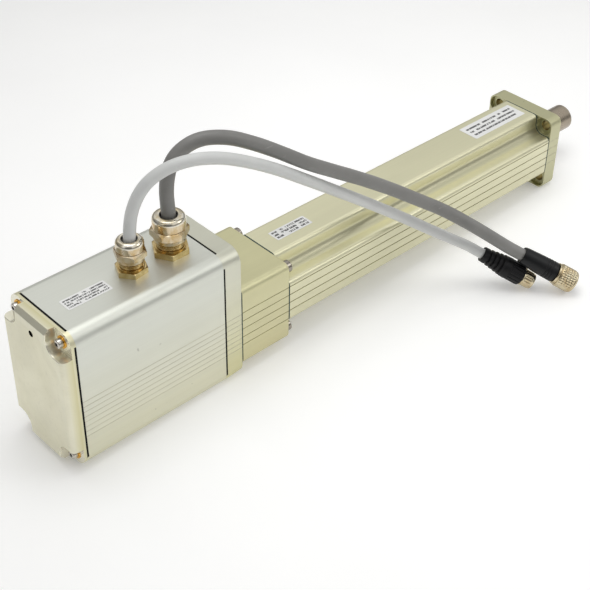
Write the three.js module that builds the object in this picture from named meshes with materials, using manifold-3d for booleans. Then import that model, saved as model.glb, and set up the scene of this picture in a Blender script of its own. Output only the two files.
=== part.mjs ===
// Electric linear actuator: a servo motor and drive in a rectangular housing, a coupling housing, a
// profiled cylinder tube with a ball screw inside, a square front flange and a round push rod, with two
// cable glands, two cables and their round plugs.
//
// Frame: millimetres. The origin is the centre of the rear cover's outer face on the rod's axis.
// +X runs along the rod towards its free end, +Z points to the cable glands.
import * as THREE from 'three';
import { mergeVertices } from 'three/addons/utils/BufferGeometryUtils.js';
import Module from 'manifold-3d';

const wasm = await Module();
wasm.setup();

// ---------------------------------------------------------------- driving dimensions
const ROUNDNESS = 0.8;          // scales the number of flats on every round piece
const PAST = 1;                 // how far a cutter runs past the face it opens

const HALF = 37.5;              // half the width of every square section
const MOTOR_BOTTOM = -48;       // motor housing, below and above the rod's axis
const MOTOR_TOP = 75.5;
const MOTOR_MID = (MOTOR_BOTTOM + MOTOR_TOP) / 2;
const MOTOR_CORNER = 10;
const ADAPTER_CORNER = 12;
const HOUSING_CORNER = 5.5;
const FLANGE_CORNER = 7;
const CHANNEL_EDGE = 4;         // rounding beside the tube's corner channels

const MOTOR_GASKET = 1.6;       // gasket thicknesses
const ADAPTER_GASKET = 0.8;
const TUBE_GASKET = 1.1;

const X_COVER = 0;              // stations along the actuator
const X_COVER_IN = 11.3;
const X_MOTOR = X_COVER_IN + MOTOR_GASKET;
const X_MOTOR_END = 144.6;
const X_ADAPTER = X_MOTOR_END + MOTOR_GASKET;
const X_ADAPTER_END = 161.5;
const X_HOUSING = X_ADAPTER_END + ADAPTER_GASKET;
const X_HOUSING_END = 211.2;
const X_TUBE = X_HOUSING_END + TUBE_GASKET;
const X_TUBE_END = 544.9;
const X_FLANGE = X_TUBE_END + TUBE_GASKET;
const X_FLANGE_END = X_FLANGE + 15;
const X_BOSS_END = X_FLANGE_END + 12;
const X_ROD_END = 618;

const SCREW_Y = 26.9;           // rear cover screws, from the middle of the cover
const SCREW_Z = 53.2;
const HOUSING_SCREW = 30;       // screws that hold the coupling housing to the adapter
const HOUSING_SCREW_HOLE_R = 3.3;
const FLANGE_HOLE = 56.5 / 2;   // half the pitch of the mounting holes
const FLANGE_HOLE_R = 4.25;
const CHANNEL_R = 8.25;         // concave corner channels of the tube
const TUBE_BORE_R = 26;
const ROD_R = 12.5;
const BALL_SCREW_R = 8;

// V-grooves along both side faces: heights, width and depth.
const row = (first, pitch, count) => Array.from({ length: count }, (_, i) => first + pitch * i);
const NO_GROOVES = { heights: [] };
const FINE_GROOVES = { heights: row(-18.75, 4.75, 8), width: 0.7, depth: 0.35 };
const HOUSING_GROOVES = { heights: row(-16.8, 8, 5), width: 1, depth: 0.6 };
const TUBE_FLAT = FLANGE_HOLE - CHANNEL_R - CHANNEL_EDGE;  // half the flat of a tube face
const TUBE_GROOVES = {
  heights: HOUSING_GROOVES.heights.filter((z) => Math.abs(z) + 0.5 < TUBE_FLAT),
  width: 1,
  depth: 0.5,
};

// Glands: heights above the housing of the base hexagon's top, the nut's lower end, the nut's hexagon
// and the nut's top. dome, cable and thread are radii; the turns are in degrees.
const SMALL_GLAND = {
  x: 87, y: -2.3, across: 22, base: 4.8, nut: 10.3, flats: [13.6, 19.6], top: 29.2,
  dome: 10.6, cable: 4.7, thread: 7.9, baseTurn: 7, nutTurn: 7,
};
const LARGE_GLAND = {
  x: 123.4, y: -1.8, across: 26, base: 5.3, nut: 11.6, flats: [15.2, 22.3], top: 33.2,
  dome: 12.8, cable: 5.5, thread: 9.9, baseTurn: 0, nutTurn: 30,
};

// Plugs: the point where the cable enters, and the way each one points.
const SIGNAL_PLUG = { entry: [389.68, -90.42, -10], way: [0.538, -0.7048, -0.4624] };
const POWER_PLUG = { entry: [410.97, -117.1, -7], way: [0.5584, -0.6888, -0.4623] };

// ---------------------------------------------------------------- materials
const finish = {
  champagne: { color: 0xcbc69f, roughness: 0.42, metalness: 0.75 },
  cover: { color: 0xd0ccb4, roughness: 0.42, metalness: 0.7 },
  silver: { color: 0xc6c8c0, roughness: 0.4, metalness: 0.8 },
  nickel: { color: 0xd8c49a, roughness: 0.18, metalness: 1 },
  brass: { color: 0xc99a3a, roughness: 0.25, metalness: 1 },
  steel: { color: 0x8d8a86, roughness: 0.22, metalness: 1 },
  darkSteel: { color: 0x6d6a66, roughness: 0.35, metalness: 1 },
  black: { color: 0x151515, roughness: 0.7, metalness: 0 },
  gasketGreen: { color: 0x27403a, roughness: 0.7, metalness: 0 },
  plug: { color: 0x1b1c1e, roughness: 0.5, metalness: 0 },
  lightCable: { color: 0xc5c9c8, roughness: 0.5, metalness: 0 },
  darkCable: { color: 0x6e6d6a, roughness: 0.5, metalness: 0 },
  label: { color: 0xf2f2f0, roughness: 0.4, metalness: 0 },
  copper: { color: 0xb06a3a, roughness: 0.35, metalness: 1 },
  magnet: { color: 0x55585c, roughness: 0.35, metalness: 1 },
  bronze: { color: 0xa9803f, roughness: 0.4, metalness: 1 },
  board: { color: 0x1e5a36, roughness: 0.5, metalness: 0 },
  spider: { color: 0xa8322a, roughness: 0.5, metalness: 0 },
  guide: { color: 0x3a3a3c, roughness: 0.6, metalness: 0 },
};

// ---------------------------------------------------------------- geometry to solid and back
// Welds the vertices, drops collapsed triangles and turns the faces outwards.
function toSolid(geometry) {
  for (const name of Object.keys(geometry.attributes)) {
    if (name !== 'position') geometry.deleteAttribute(name);
  }
  const welded = mergeVertices(geometry, 1e-4);
  const p = welded.attributes.position.array;
  const index = welded.index.array;
  const triangles = [];
  for (let i = 0; i < index.length; i += 3) {
    const [a, b, c] = [index[i], index[i + 1], index[i + 2]];
    if (a !== b && b !== c && c !== a) triangles.push(a, b, c);
  }
  let volume = 0;
  for (let i = 0; i < triangles.length; i += 3) {
    const [a, b, c] = [triangles[i] * 3, triangles[i + 1] * 3, triangles[i + 2] * 3];
    volume += p[a] * (p[b + 1] * p[c + 2] - p[b + 2] * p[c + 1])
      - p[a + 1] * (p[b] * p[c + 2] - p[b + 2] * p[c])
      + p[a + 2] * (p[b] * p[c + 1] - p[b + 1] * p[c]);
  }
  if (volume < 0) triangles.reverse();
  return new wasm.Manifold(new wasm.Mesh({
    numProp: 3, vertProperties: Float32Array.from(p), triVerts: Uint32Array.from(triangles),
  }));
}
function toGeometry(solid) {
  const mesh = solid.getMesh();
  const geometry = new THREE.BufferGeometry();
  const position = new THREE.BufferAttribute(Float32Array.from(mesh.vertProperties), 3);
  geometry.setAttribute('position', position);
  geometry.setIndex(new THREE.BufferAttribute(Uint32Array.from(mesh.triVerts), 1));
  geometry.computeVertexNormals();
  return geometry;
}
const join = (...solids) => solids.reduce((a, b) => a.add(b));
const cut = (solid, ...tools) => tools.reduce((a, b) => a.subtract(b), solid);

const actuator = new THREE.Group();
function add(name, solid, look, parent = actuator) {
  const mesh = new THREE.Mesh(toGeometry(solid), new THREE.MeshStandardMaterial(finish[look]));
  mesh.name = name;
  parent.add(mesh);
}

// ---------------------------------------------------------------- outlines
const sides = (count) => Math.max(8, 2 * Math.round(count * ROUNDNESS / 2));
const vectors = (points) => points.map(([u, v]) => new THREE.Vector2(u, v));

// Angles in degrees.
const arc = (y, z, radius, from, to, steps) => Array.from({ length: steps + 1 }, (_, i) => {
  const angle = THREE.MathUtils.degToRad(from + (to - from) * i / steps);
  return [y + radius * Math.cos(angle), z + radius * Math.sin(angle)];
});
const polygon = (y, z, radius, turn, count) =>
  arc(y, z, radius, turn, turn + 360, count).slice(0, count);
const circle = (y, z, radius, segments) => polygon(y, z, radius, 0, sides(segments));
const hexagon = (y, z, across, turn) => polygon(y, z, across / Math.sqrt(3), turn, 6);
const rectangle = (y0, y1, z0, z1) => [[y0, z0], [y1, z0], [y1, z1], [y0, z1]];

// Part of a ring about the origin.
const sector = (inner, outer, from, to, steps) =>
  [...arc(0, 0, outer, from, to, steps), ...arc(0, 0, inner, to, from, steps)];

// Groove points for the +Y face going up, and for the -Y face going down.
function sideGrooves({ heights, width, depth }) {
  const up = heights.flatMap((z) => [
    [HALF, z - width / 2], [HALF - depth, z], [HALF, z + width / 2]]);
  return [up, up.map(([y, z]) => [-y, z]).reverse()];
}

// Rounded rectangle |y| < half, with long grooves in both side faces.
function rounded(half, bottom, top, radius, steps, grooves = NO_GROOVES) {
  const [up, down] = sideGrooves(grooves);
  const [y, low, high] = [half - radius, bottom + radius, top - radius];
  return [
    ...arc(y, low, radius, -90, 0, steps), ...up,
    ...arc(y, high, radius, 0, 90, steps),
    ...arc(-y, high, radius, 90, 180, steps), ...down,
    ...arc(-y, low, radius, 180, 270, steps)];
}

// Rectangle with square notches out of its corners.
const notched = (half, bottom, top, notch) => [
  [half - notch, bottom], [half - notch, bottom + notch], [half, bottom + notch],
  [half, top - notch], [half - notch, top - notch], [half - notch, top],
  [notch - half, top], [notch - half, top - notch], [-half, top - notch],
  [-half, bottom + notch], [notch - half, bottom + notch], [notch - half, bottom]];

// Tube section: a square whose four corners are concave channels.
function tubeSection(steps, grooves = NO_GROOVES) {
  const [up, down] = sideGrooves(grooves);
  const corner = [
    ...arc(HALF - CHANNEL_EDGE, TUBE_FLAT, CHANNEL_EDGE, 0, 90, steps),
    ...arc(FLANGE_HOLE, FLANGE_HOLE, CHANNEL_R, -90, -180, steps + 2),
    ...arc(TUBE_FLAT, HALF - CHANNEL_EDGE, CHANNEL_EDGE, 0, 90, steps)];
  const turnedBy = (cos, sin) => corner.map(([y, z]) => [y * cos - z * sin, y * sin + z * cos]);
  return [
    ...turnedBy(1, 0), ...turnedBy(0, 1), ...down,
    ...turnedBy(-1, 0), ...turnedBy(0, -1), ...up];
}

// Alternating ribs and gaps round a circle.
const ribbed = (radius, depth, ribs) => Array.from({ length: ribs * 4 }, (_, i) => {
  const angle = 2 * Math.PI * i / (ribs * 4);
  const reach = i % 4 < 2 ? radius : radius - depth;
  return [reach * Math.cos(angle), reach * Math.sin(angle)];
});

// ---------------------------------------------------------------- solid makers
// A section in the X-Y plane run along Z.
function extruded(points, length, holes = []) {
  const shape = new THREE.Shape(vectors(points));
  for (const hole of holes) shape.holes.push(new THREE.Path(vectors(hole)));
  return new THREE.ExtrudeGeometry(shape, { depth: length, bevelEnabled: false, steps: 1 });
}
const slab = (points, z0, z1) => toSolid(extruded(points, z1 - z0).translate(0, 0, z0));

// A section of [y, z] points run along X.
const ALONG_X = new THREE.Matrix4().makeBasis(
  new THREE.Vector3(0, 1, 0), new THREE.Vector3(0, 0, 1), new THREE.Vector3(1, 0, 0));
const bar = (points, x0, x1, holes) =>
  toSolid(extruded(points, x1 - x0, holes).applyMatrix4(ALONG_X).translate(x0, 0, 0));

// Profiles are [distance along the axis, radius]; they start and end on the axis, or close on themselves.
const lathe = (profile, segments) =>
  new THREE.LatheGeometry(profile.map(([along, radius]) => new THREE.Vector2(radius, along)),
    sides(segments));
const plain = (from, to, radius) => [[from, 0], [from, radius], [to, radius], [to, 0]];

// Turned about X.
const turned = (profile, segments, y = 0, z = 0) =>
  toSolid(lathe(profile, segments).rotateZ(-Math.PI / 2).translate(0, y, z));
const cylinder = (x0, x1, radius, segments, y, z) =>
  turned(plain(x0, x1, radius), segments, y, z);
const ring = (x0, x1, inner, outer, segments, y, z) =>
  turned([[x0, inner], [x0, outer], [x1, outer], [x1, inner], [x0, inner]], segments, y, z);

// Turned about a vertical axis; heights count from z.
const upright = (profile, segments, x, y, z = 0) =>
  toSolid(lathe(profile, segments).rotateX(Math.PI / 2).translate(x, y, z));
const post = (z0, z1, radius, segments, x, y) =>
  upright(plain(z0, z1, radius), segments, x, y);

// A skin through sections [x, points], all with the same number of points, closed at both ends.
function lofted(sections) {
  const count = sections[0][1].length;
  const position = sections.flatMap(([x, points]) => points.flatMap(([y, z]) => [x, y, z]));
  const index = [];
  for (let s = 0; s + 1 < sections.length; s++) {
    for (let i = 0; i < count; i++) {
      const [a, b] = [s * count + i, s * count + (i + 1) % count];
      index.push(a, b, b + count, a, b + count, a + count);
    }
  }
  const last = (sections.length - 1) * count;
  for (const [a, b, c] of THREE.ShapeUtils.triangulateShape(vectors(sections[0][1]), [])) {
    index.push(a, c, b);
    index.push(last + a, last + b, last + c);
  }
  const geometry = new THREE.BufferGeometry();
  geometry.setAttribute('position', new THREE.Float32BufferAttribute(position, 3));
  geometry.setIndex(index);
  return toSolid(geometry);
}

// ---------------------------------------------------------------- shared places and sections
const CORNERS = [[-1, 1], [1, 1], [1, -1], [-1, -1]];
const squareOf = (half) => CORNERS.map(([signY, signZ]) => [signY * half, signZ * half]);
const COVER_SCREWS = CORNERS.map(([signY, signZ]) =>
  [signY * SCREW_Y, MOTOR_MID + signZ * SCREW_Z]);
const HOUSING_SCREWS = squareOf(HOUSING_SCREW);
const FLANGE_HOLES = squareOf(FLANGE_HOLE);
const drills = (places, x0, x1, radius, segments) =>
  places.map(([y, z]) => cylinder(x0, x1, radius, segments, y, z));

const motorOutline = (radius, grooves) =>
  rounded(HALF, MOTOR_BOTTOM, MOTOR_TOP, radius, 4, grooves);
const MOTOR_CAVITY = notched(31, -41.5, 69, 11);
const GASKET_CORNER = 9;        // the motor gaskets' corner notches

// Metal that fills the motor gaskets' corner notches.
const cornerLips = (x0, x1) => cut(bar(motorOutline(MOTOR_CORNER), x0, x1),
  bar(notched(HALF, MOTOR_BOTTOM, MOTOR_TOP, GASKET_CORNER), x0 - PAST, x1 + PAST));

// ---------------------------------------------------------------- rear cover
const POCKET_Y = 28.75;         // pockets round the screw heads, open at the cover's corners
const POCKET_R = 10;
const POCKET_FLOOR = 8.8;
const POCKET_OUT_Y = 41;        // beyond the cover's side
const POCKET_OUT_Z = 14;        // from the screw to beyond the cover's top or bottom
const WASHER_X = POCKET_FLOOR - 0.8;
const VENT = { y: -0.8, z: 62.8, bottom: 3.2 };

function rearCover() {
  // The rounded outer edge: x, inset in y, inset in z, corner radius.
  const edge = [
    [X_COVER, 3.5, 3.5, 7],
    [0.7, 2.3, 2.8, 8],
    [1.9, 1.2, 1.6, 9],
    [3.5, 0.45, 0, 9.6],
    [5, 0, 0, MOTOR_CORNER],
    [X_COVER_IN, 0, 0, MOTOR_CORNER],
  ];
  const shell = lofted(edge.map(([x, insetY, insetZ, radius]) =>
    [x, rounded(HALF - insetY, MOTOR_BOTTOM + insetZ, MOTOR_TOP - insetZ, radius, 4)]));
  const hollow = bar(notched(29, -38, 66, 12), 4.5, X_COVER_IN + 0.5);
  const start = X_COVER - PAST;
  const pockets = CORNERS.flatMap(([signY, signZ], i) => {
    const z = COVER_SCREWS[i][1];
    const [middle, outer] = [signY * POCKET_Y, signY * POCKET_OUT_Y];
    const inner = signY * (POCKET_Y - POCKET_R);
    return [
      cylinder(start, POCKET_FLOOR, POCKET_R, 24, middle, z),
      bar(rectangle(inner, outer, z, z + signZ * POCKET_OUT_Z), start, POCKET_FLOOR),
      bar(rectangle(middle, outer, z - signZ * POCKET_R, z + signZ), start, POCKET_FLOOR)];
  });
  return cut(join(shell, cornerLips(X_COVER_IN, X_MOTOR)), hollow, ...pockets,
    ...drills(COVER_SCREWS, WASHER_X, X_MOTOR + PAST, 2.3, 10),
    cylinder(start, VENT.bottom, 2.6, 12, VENT.y, VENT.z));
}
add('rear_cover', rearCover(), 'cover');

const COVER_SCREW = [
  [4, 0], [4, 3.1], [4.5, 3.6], [WASHER_X, 3.6], [WASHER_X, 2], [24, 2], [24, 0]];
COVER_SCREWS.forEach(([y, z], i) => {
  add(`cover_washer_${i + 1}`, ring(WASHER_X, POCKET_FLOOR, 2.2, 5, 16, y, z), 'brass');
  const socket = bar(hexagon(y, z, 3, 10), 3, 6);
  add(`cover_screw_${i + 1}`, cut(turned(COVER_SCREW, 12, y, z), socket), 'steel');
});
add('vent_plug', cut(cylinder(1.4, VENT.bottom, 2.5, 12, VENT.y, VENT.z),
  bar(hexagon(VENT.y, VENT.z, 2, 0), 1, 2.4)), 'darkSteel');

// ---------------------------------------------------------------- motor housing and its gaskets
function motorGasket(x0) {
  const inset = 0.1;
  const outline = notched(HALF - inset, MOTOR_BOTTOM + inset, MOTOR_TOP - inset, GASKET_CORNER);
  return bar(outline, x0, x0 + MOTOR_GASKET, [MOTOR_CAVITY]);
}
const MOTOR_BEARING_SEAT = { x: 133, radius: 16.1 };
const GLAND_HOLE_PLAY = 0.15;

function motorHousing() {
  const glandHoles = [SMALL_GLAND, LARGE_GLAND].map(({ x, y, thread }) =>
    post(60, 80, thread + GLAND_HOLE_PLAY, 18, x, y));
  return cut(bar(motorOutline(MOTOR_CORNER, FINE_GROOVES), X_MOTOR, X_MOTOR_END),
    bar(MOTOR_CAVITY, X_MOTOR - PAST, MOTOR_BEARING_SEAT.x + 0.5),
    cylinder(MOTOR_BEARING_SEAT.x, X_MOTOR_END + PAST, MOTOR_BEARING_SEAT.radius, 24),
    ...drills(COVER_SCREWS, X_MOTOR - PAST, 27, 2.2, 10), ...glandHoles);
}
add('rear_gasket', cut(motorGasket(X_COVER_IN),
  ...drills(COVER_SCREWS, X_COVER_IN - PAST, X_MOTOR + PAST, 3.2, 12)), 'black');
add('motor_front_gasket', motorGasket(X_MOTOR_END), 'black');
add('motor_housing', motorHousing(), 'silver');

// ---------------------------------------------------------------- adapter plate
function adapterPlate() {
  const plate = lofted([
    [X_ADAPTER, motorOutline(MOTOR_CORNER, FINE_GROOVES)],
    [X_ADAPTER_END, motorOutline(ADAPTER_CORNER, FINE_GROOVES)]]);
  return cut(join(plate, cornerLips(X_MOTOR_END, X_ADAPTER)),
    cylinder(X_MOTOR_END - PAST, X_ADAPTER_END + PAST, 19, 24),
    ...drills(HOUSING_SCREWS, 150, X_ADAPTER_END + PAST, HOUSING_SCREW_HOLE_R, 10));
}
function adapterGasket() {
  const half = HALF - 0.05;
  return bar(rounded(half, -half, half, HOUSING_CORNER, 3), X_ADAPTER_END, X_HOUSING,
    [circle(0, 0, 24, 24), ...HOUSING_SCREWS.map(([y, z]) => circle(y, z, 3.5, 10))]);
}
add('adapter_plate', adapterPlate(), 'silver');
add('adapter_gasket', adapterGasket(), 'gasketGreen');

// ---------------------------------------------------------------- coupling housing
function couplingHousing() {
  const outline = rounded(HALF, -HALF, HALF, HOUSING_CORNER, 3, HOUSING_GROOVES);
  const [start, end] = [X_ADAPTER_END - PAST, X_HOUSING_END + PAST];
  return cut(bar(outline, X_HOUSING, X_HOUSING_END),
    cylinder(start, 184, 22.5, 24),     // round the coupling
    cylinder(183, 209.9, 21.1, 24),     // round the thrust bearing
    cylinder(209, end, 17, 24),         // way through to the tube
    ...drills(HOUSING_SCREWS, start, end, HOUSING_SCREW_HOLE_R, 10));
}
add('coupling_housing', couplingHousing(), 'champagne');

const HEAD_X = X_HOUSING_END;   // underside of the screw heads
const HOUSING_SCREW_PROFILE = [
  [151, 0], [151, 3], [HEAD_X, 3], [HEAD_X, 5.25],
  [HEAD_X + 5.5, 5.25], [HEAD_X + 6, 4.7], [HEAD_X + 6, 0]];
HOUSING_SCREWS.forEach(([y, z], i) => {
  const socket = bar(hexagon(y, z, 5, 15), HEAD_X + 2.6, HEAD_X + 7);
  add(`housing_screw_${i + 1}`, cut(turned(HOUSING_SCREW_PROFILE, 14, y, z), socket), 'steel');
});

// ---------------------------------------------------------------- cylinder tube and its gaskets
const tubeGasket = (x0) =>
  bar(tubeSection(2), x0, x0 + TUBE_GASKET, [circle(0, 0, TUBE_BORE_R + 1, 24)]);
add('actuator_tube', bar(tubeSection(4, TUBE_GROOVES), X_TUBE, X_TUBE_END,
  [circle(0, 0, TUBE_BORE_R, 32)]), 'champagne');
add('tube_rear_gasket', tubeGasket(X_HOUSING_END), 'gasketGreen');
add('tube_front_gasket', tubeGasket(X_TUBE_END), 'gasketGreen');

// ---------------------------------------------------------------- front flange, bush and wiper
const BUSH_R = 16;
const BOSS_R = 22.5;
function frontFlange() {
  const [start, end] = [X_FLANGE - PAST, X_BOSS_END + PAST];
  const plate = bar(rounded(HALF, -HALF, HALF, FLANGE_CORNER, 4), X_FLANGE, X_FLANGE_END);
  const boss = turned([[X_FLANGE_END - 2, 0], [X_FLANGE_END - 2, BOSS_R],
    [X_BOSS_END - 1, BOSS_R], [X_BOSS_END, BOSS_R - 1], [X_BOSS_END, 0]], 32);
  return cut(join(plate, boss),
    cylinder(start, end, 14, 28),
    cylinder(X_FLANGE + 1, end, BUSH_R + 0.1, 28),
    // the tube's channels run on into the flange's rear face
    ...drills(FLANGE_HOLES, start, X_FLANGE + 4, CHANNEL_R, 20),
    ...drills(FLANGE_HOLES, X_FLANGE, X_FLANGE_END + PAST, FLANGE_HOLE_R, 16));
}
add('front_flange', frontFlange(), 'champagne');
add('rod_bush', ring(547.1, 562, 12.8, BUSH_R, 28), 'bronze');
add('rod_wiper', turned([[562.3, 12.9], [562.3, BUSH_R], [574, BUSH_R],
  [574.8, 14.4], [574.8, 12.9], [562.3, 12.9]], 28), 'black');

// ---------------------------------------------------------------- push rod with nut
function pushRod() {
  const outer = [[262, 0], [262, ROD_R], [616.8, ROD_R], [X_ROD_END, 11.4], [X_ROD_END, 0]];
  const screwBore = [[261, 0], [261, 8.7], [545, 8.7], [549, 0]];
  const endBore = [[584, 0], [586, 7.2], [616.9, 7.2], [X_ROD_END + 0.5, 8.6],
    [X_ROD_END + PAST, 8.6], [X_ROD_END + PAST, 0]];
  return cut(turned(outer, 28), turned(screwBore, 20), turned(endBore, 20));
}
add('rod', pushRod(), 'steel');
add('nut_carrier', turned([
  [224, 16.3], [224, 25], [234, 25], [234, 23.5], [246, 23.5], [246, 25], [273, 25],
  [274, 24], [274, 12.7], [261.8, 12.7], [260.4, 16.3], [224, 16.3]], 24), 'steel');
add('guide_ring', ring(234.3, 245.7, 23.8, 25.6, 24), 'guide');
add('ball_nut', turned([[225, 8.5], [225, 15.2], [225.8, 16], [260, 16], [260, 8.5],
  [225, 8.5]], 20), 'darkSteel');

// ---------------------------------------------------------------- ball screw and thrust bearing
const BEARING = [184.3, 209.8]; // the thrust bearing's two ends
add('ball_screw', turned([
  [170, 0], [170, 6], [184, 6], [184, 7.4], [210, 7.4], [210, 10.5], [214, 10.5],
  [214, BALL_SCREW_R], [520, BALL_SCREW_R], [522, 6.5], [528, 6.5], [528, 0]], 18), 'steel');
add('thrust_bearing_outer', ring(...BEARING, 17, 21, 24), 'steel');
add('thrust_bearing_inner', ring(...BEARING, 7.6, 12.5, 20), 'steel');

// ---------------------------------------------------------------- coupling
const HUB_R = 17;
const SPIDER = [161.8, 168.4];  // the spider's two ends

// A hub with three jaws; the first jaw is at the given angle.
function couplingHub(hubEnds, jawEnds, firstJaw) {
  const jaws = row(firstJaw, 120, 3).map((angle) =>
    bar(sector(9, HUB_R, angle - 23, angle + 23, 2), ...jawEnds));
  return join(ring(...hubEnds, 6.1, HUB_R, 24), ...jaws);
}
function couplingSpider() {
  const arms = row(30, 60, 6).map((angle) =>
    bar(sector(8, 16.6, angle - 5.5, angle + 5.5, 1), ...SPIDER));
  return join(ring(...SPIDER, 6.6, 8.7, 24), ...arms);
}
add('coupling_hub_screw', couplingHub([171, 182], [161.6, 172], 60), 'darkSteel');
add('coupling_hub_motor', couplingHub([148, 159.5], [158, 168.6], 0), 'darkSteel');
add('coupling_spider', couplingSpider(), 'spider');

// ---------------------------------------------------------------- motor
const motorBearing = (x0, x1) => turned([[x0, 6.2], [x0 + 0.6, 8.8], [x0 + 0.6, 13.2],
  [x0, 15.85], [x1, 15.85], [x1, 6.2], [x0, 6.2]], 20);
add('motor_shaft', turned([
  [18, 0], [18, 5], [30, 5], [30, 6], [46, 6], [46, 8], [57, 8], [57, 12],
  [117, 12], [117, 8], [132, 8], [132, 6], [160, 6], [160, 0]], 16), 'steel');
add('rotor_magnets', ring(58, 116, 12.5, 17.4, 18), 'magnet');
add('stator', turned([
  [47, 20], [47, 28], [56, 30.6], [118, 30.6], [127, 28],
  [127, 20], [118, 18.4], [56, 18.4], [47, 20]], 20), 'copper');
add('motor_bearing_rear', motorBearing(34.2, 43.8), 'steel');
add('motor_bearing_front', motorBearing(134, 144), 'steel');
add('motor_end_shield', turned([
  [30, 9], [30, 30.6], [44, 30.6], [44, 28], [38, 28], [38, 20],
  [44, 20], [44, 16.3], [34, 16.3], [34, 9], [30, 9]], 20), 'silver');
add('encoder_disc', ring(20, 22, 5.2, 17, 24), 'nickel');

// ---------------------------------------------------------------- drive board
function driveBoard() {
  const [bottom, top] = [44, 45.6];
  const sunk = 45.5;            // parts on the board start just inside it
  return join(
    slab(rectangle(27, 127, -28, 28), bottom, top),
    slab(rectangle(40, 80, -20, 14), sunk, 52),
    ...[100, 117].map((x) => post(sunk, 62, 7, 12, x, 11)),
    // feet under the board's corners
    ...[[31, -24], [31, 24], [123, -24], [123, 24]].map(([x, y]) =>
      post(40, bottom + 0.5, 2.5, 6, x, y)));
}
add('drive_board', driveBoard(), 'board');

// ---------------------------------------------------------------- cable glands
// All heights here count from the housing's top face.
function gland(prefix, { x, y, across, base, nut, flats, top, dome, cable, thread, baseTurn, nutTurn }) {
  const [flatsFrom, flatsTo] = flats;
  const vertex = across / Math.sqrt(3);
  const bore = cable + 0.45;
  const neck = across / 2 - 2.2;
  const spun = (profile, segments = 18) => upright(profile, segments, x, y, MOTOR_TOP);
  const hexBlock = (turn, from, to) =>
    slab(hexagon(x, y, across, turn), MOTOR_TOP + from, MOTOR_TOP + to);

  // body: chamfered hexagon on the housing, thread down into it and neck up into the nut
  const chamfer = spun([[-1, 0], [-1, 40], [base - 1.4, vertex + 0.6],
    [base + 0.6, across / 2 - 0.6], [base + 0.6, 0]]);
  const body = join(hexBlock(baseTurn, 0, base).intersect(chamfer),
    spun(plain(-8, 0.5, thread)), spun(plain(base - 0.5, flatsTo - 1, neck)));
  add(`${prefix}_gland_body`, cut(body, spun(plain(-10, flatsTo + 1, bore), 16)), 'nickel');

  // nut: round collar, hexagon with both ends chamfered, smooth dome
  const ends = spun([
    [flatsFrom - 0.1, 0], [flatsFrom - 0.1, dome - 0.2], [flatsFrom + 1.9, vertex + 0.1],
    [flatsTo - 1.9, vertex + 0.1], [flatsTo + 0.1, dome - 0.2], [flatsTo + 0.1, 0]], 20);
  const round = spun([
    [nut, 0], [nut, dome - 0.9], [nut + 0.6, dome - 0.3], [top - 4.2, dome],
    [top - 2.2, dome - 0.6], [top - 0.8, dome - 1.8], [top, dome - 3.4], [top, 0]], 24);
  const hollow = spun([
    [nut - 1, 0], [nut - 1, neck + 0.15], [flatsTo - 0.8, neck + 0.15],
    [flatsTo + 1, cable + 2], [top + 1, cable + 2], [top + 1, 0]]);
  const nutHex = hexBlock(nutTurn, flatsFrom, flatsTo).intersect(ends);
  add(`${prefix}_gland_nut`, cut(join(nutHex, round), hollow), 'nickel');

  const [inner, outer, sealBottom] = [cable + 0.5, cable + 1.85, flatsTo + 1.4];
  add(`${prefix}_gland_seal`, spun([[sealBottom, inner], [sealBottom, outer],
    [top - 1, outer], [top - 1.6, inner], [sealBottom, inner]]), 'black');
}
gland('small', SMALL_GLAND);
gland('large', LARGE_GLAND);

// ---------------------------------------------------------------- cables
// Points [x, y, z] that each cable passes through from above its gland to inside its plug.
const SIGNAL_ROUTE = [
  [87.2, -2.4, 103.5], [90.9, -2.9, 126.1], [100.8, -5.8, 144.3], [116, -12.1, 155.2],
  [133.7, -19.8, 158.9], [154.6, -25.2, 154.3], [177.4, -28.9, 143.2], [202, -31.1, 127.9],
  [227.8, -32.8, 109.4], [254.7, -34.5, 89.7], [282, -37.3, 69.6], [308.7, -42, 49.9],
  [333.9, -49.3, 31.1], [356.4, -59.7, 14.2], [367.8, -67.2, 6.2], [382.1, -80.5, -3.5],
  [387, -86.9, -7.7], [392.9, -94.6, -12.8],
];
const POWER_ROUTE = [
  [123.6, -1.7, 107], [124.7, 0.5, 130.9], [133, 1.4, 150.7], [149.9, -3.9, 161.1],
  [169.3, -12.7, 160.1], [190.1, -19.9, 150], [211.7, -26.3, 135.9], [234.3, -32, 119.8],
  [259.4, -37.5, 104.3], [285.3, -43.4, 88.6], [310.8, -50.6, 72], [335.2, -59.4, 55],
  [358.5, -70, 38.7], [381, -88, 19.9], [403.1, -107.5, -0.5], [408.2, -113.7, -4.7],
  [414.3, -121.2, -9.8],
];
function cable(from, route) {
  const insideGland = [78, 92].map((z) => [from.x, from.y, z]);
  const points = [...insideGland, ...route].map((point) => new THREE.Vector3(...point));
  const path = new THREE.CatmullRomCurve3(points, false, 'centripetal');
  const shape = new THREE.Shape(vectors(polygon(0, 0, from.cable, 0, 8)));
  return toSolid(new THREE.ExtrudeGeometry(shape,
    { steps: 42, bevelEnabled: false, extrudePath: path }));
}
add('signal_cable', cable(SMALL_GLAND, SIGNAL_ROUTE), 'lightCable');
add('power_cable', cable(LARGE_GLAND, POWER_ROUTE), 'darkCable');

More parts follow.
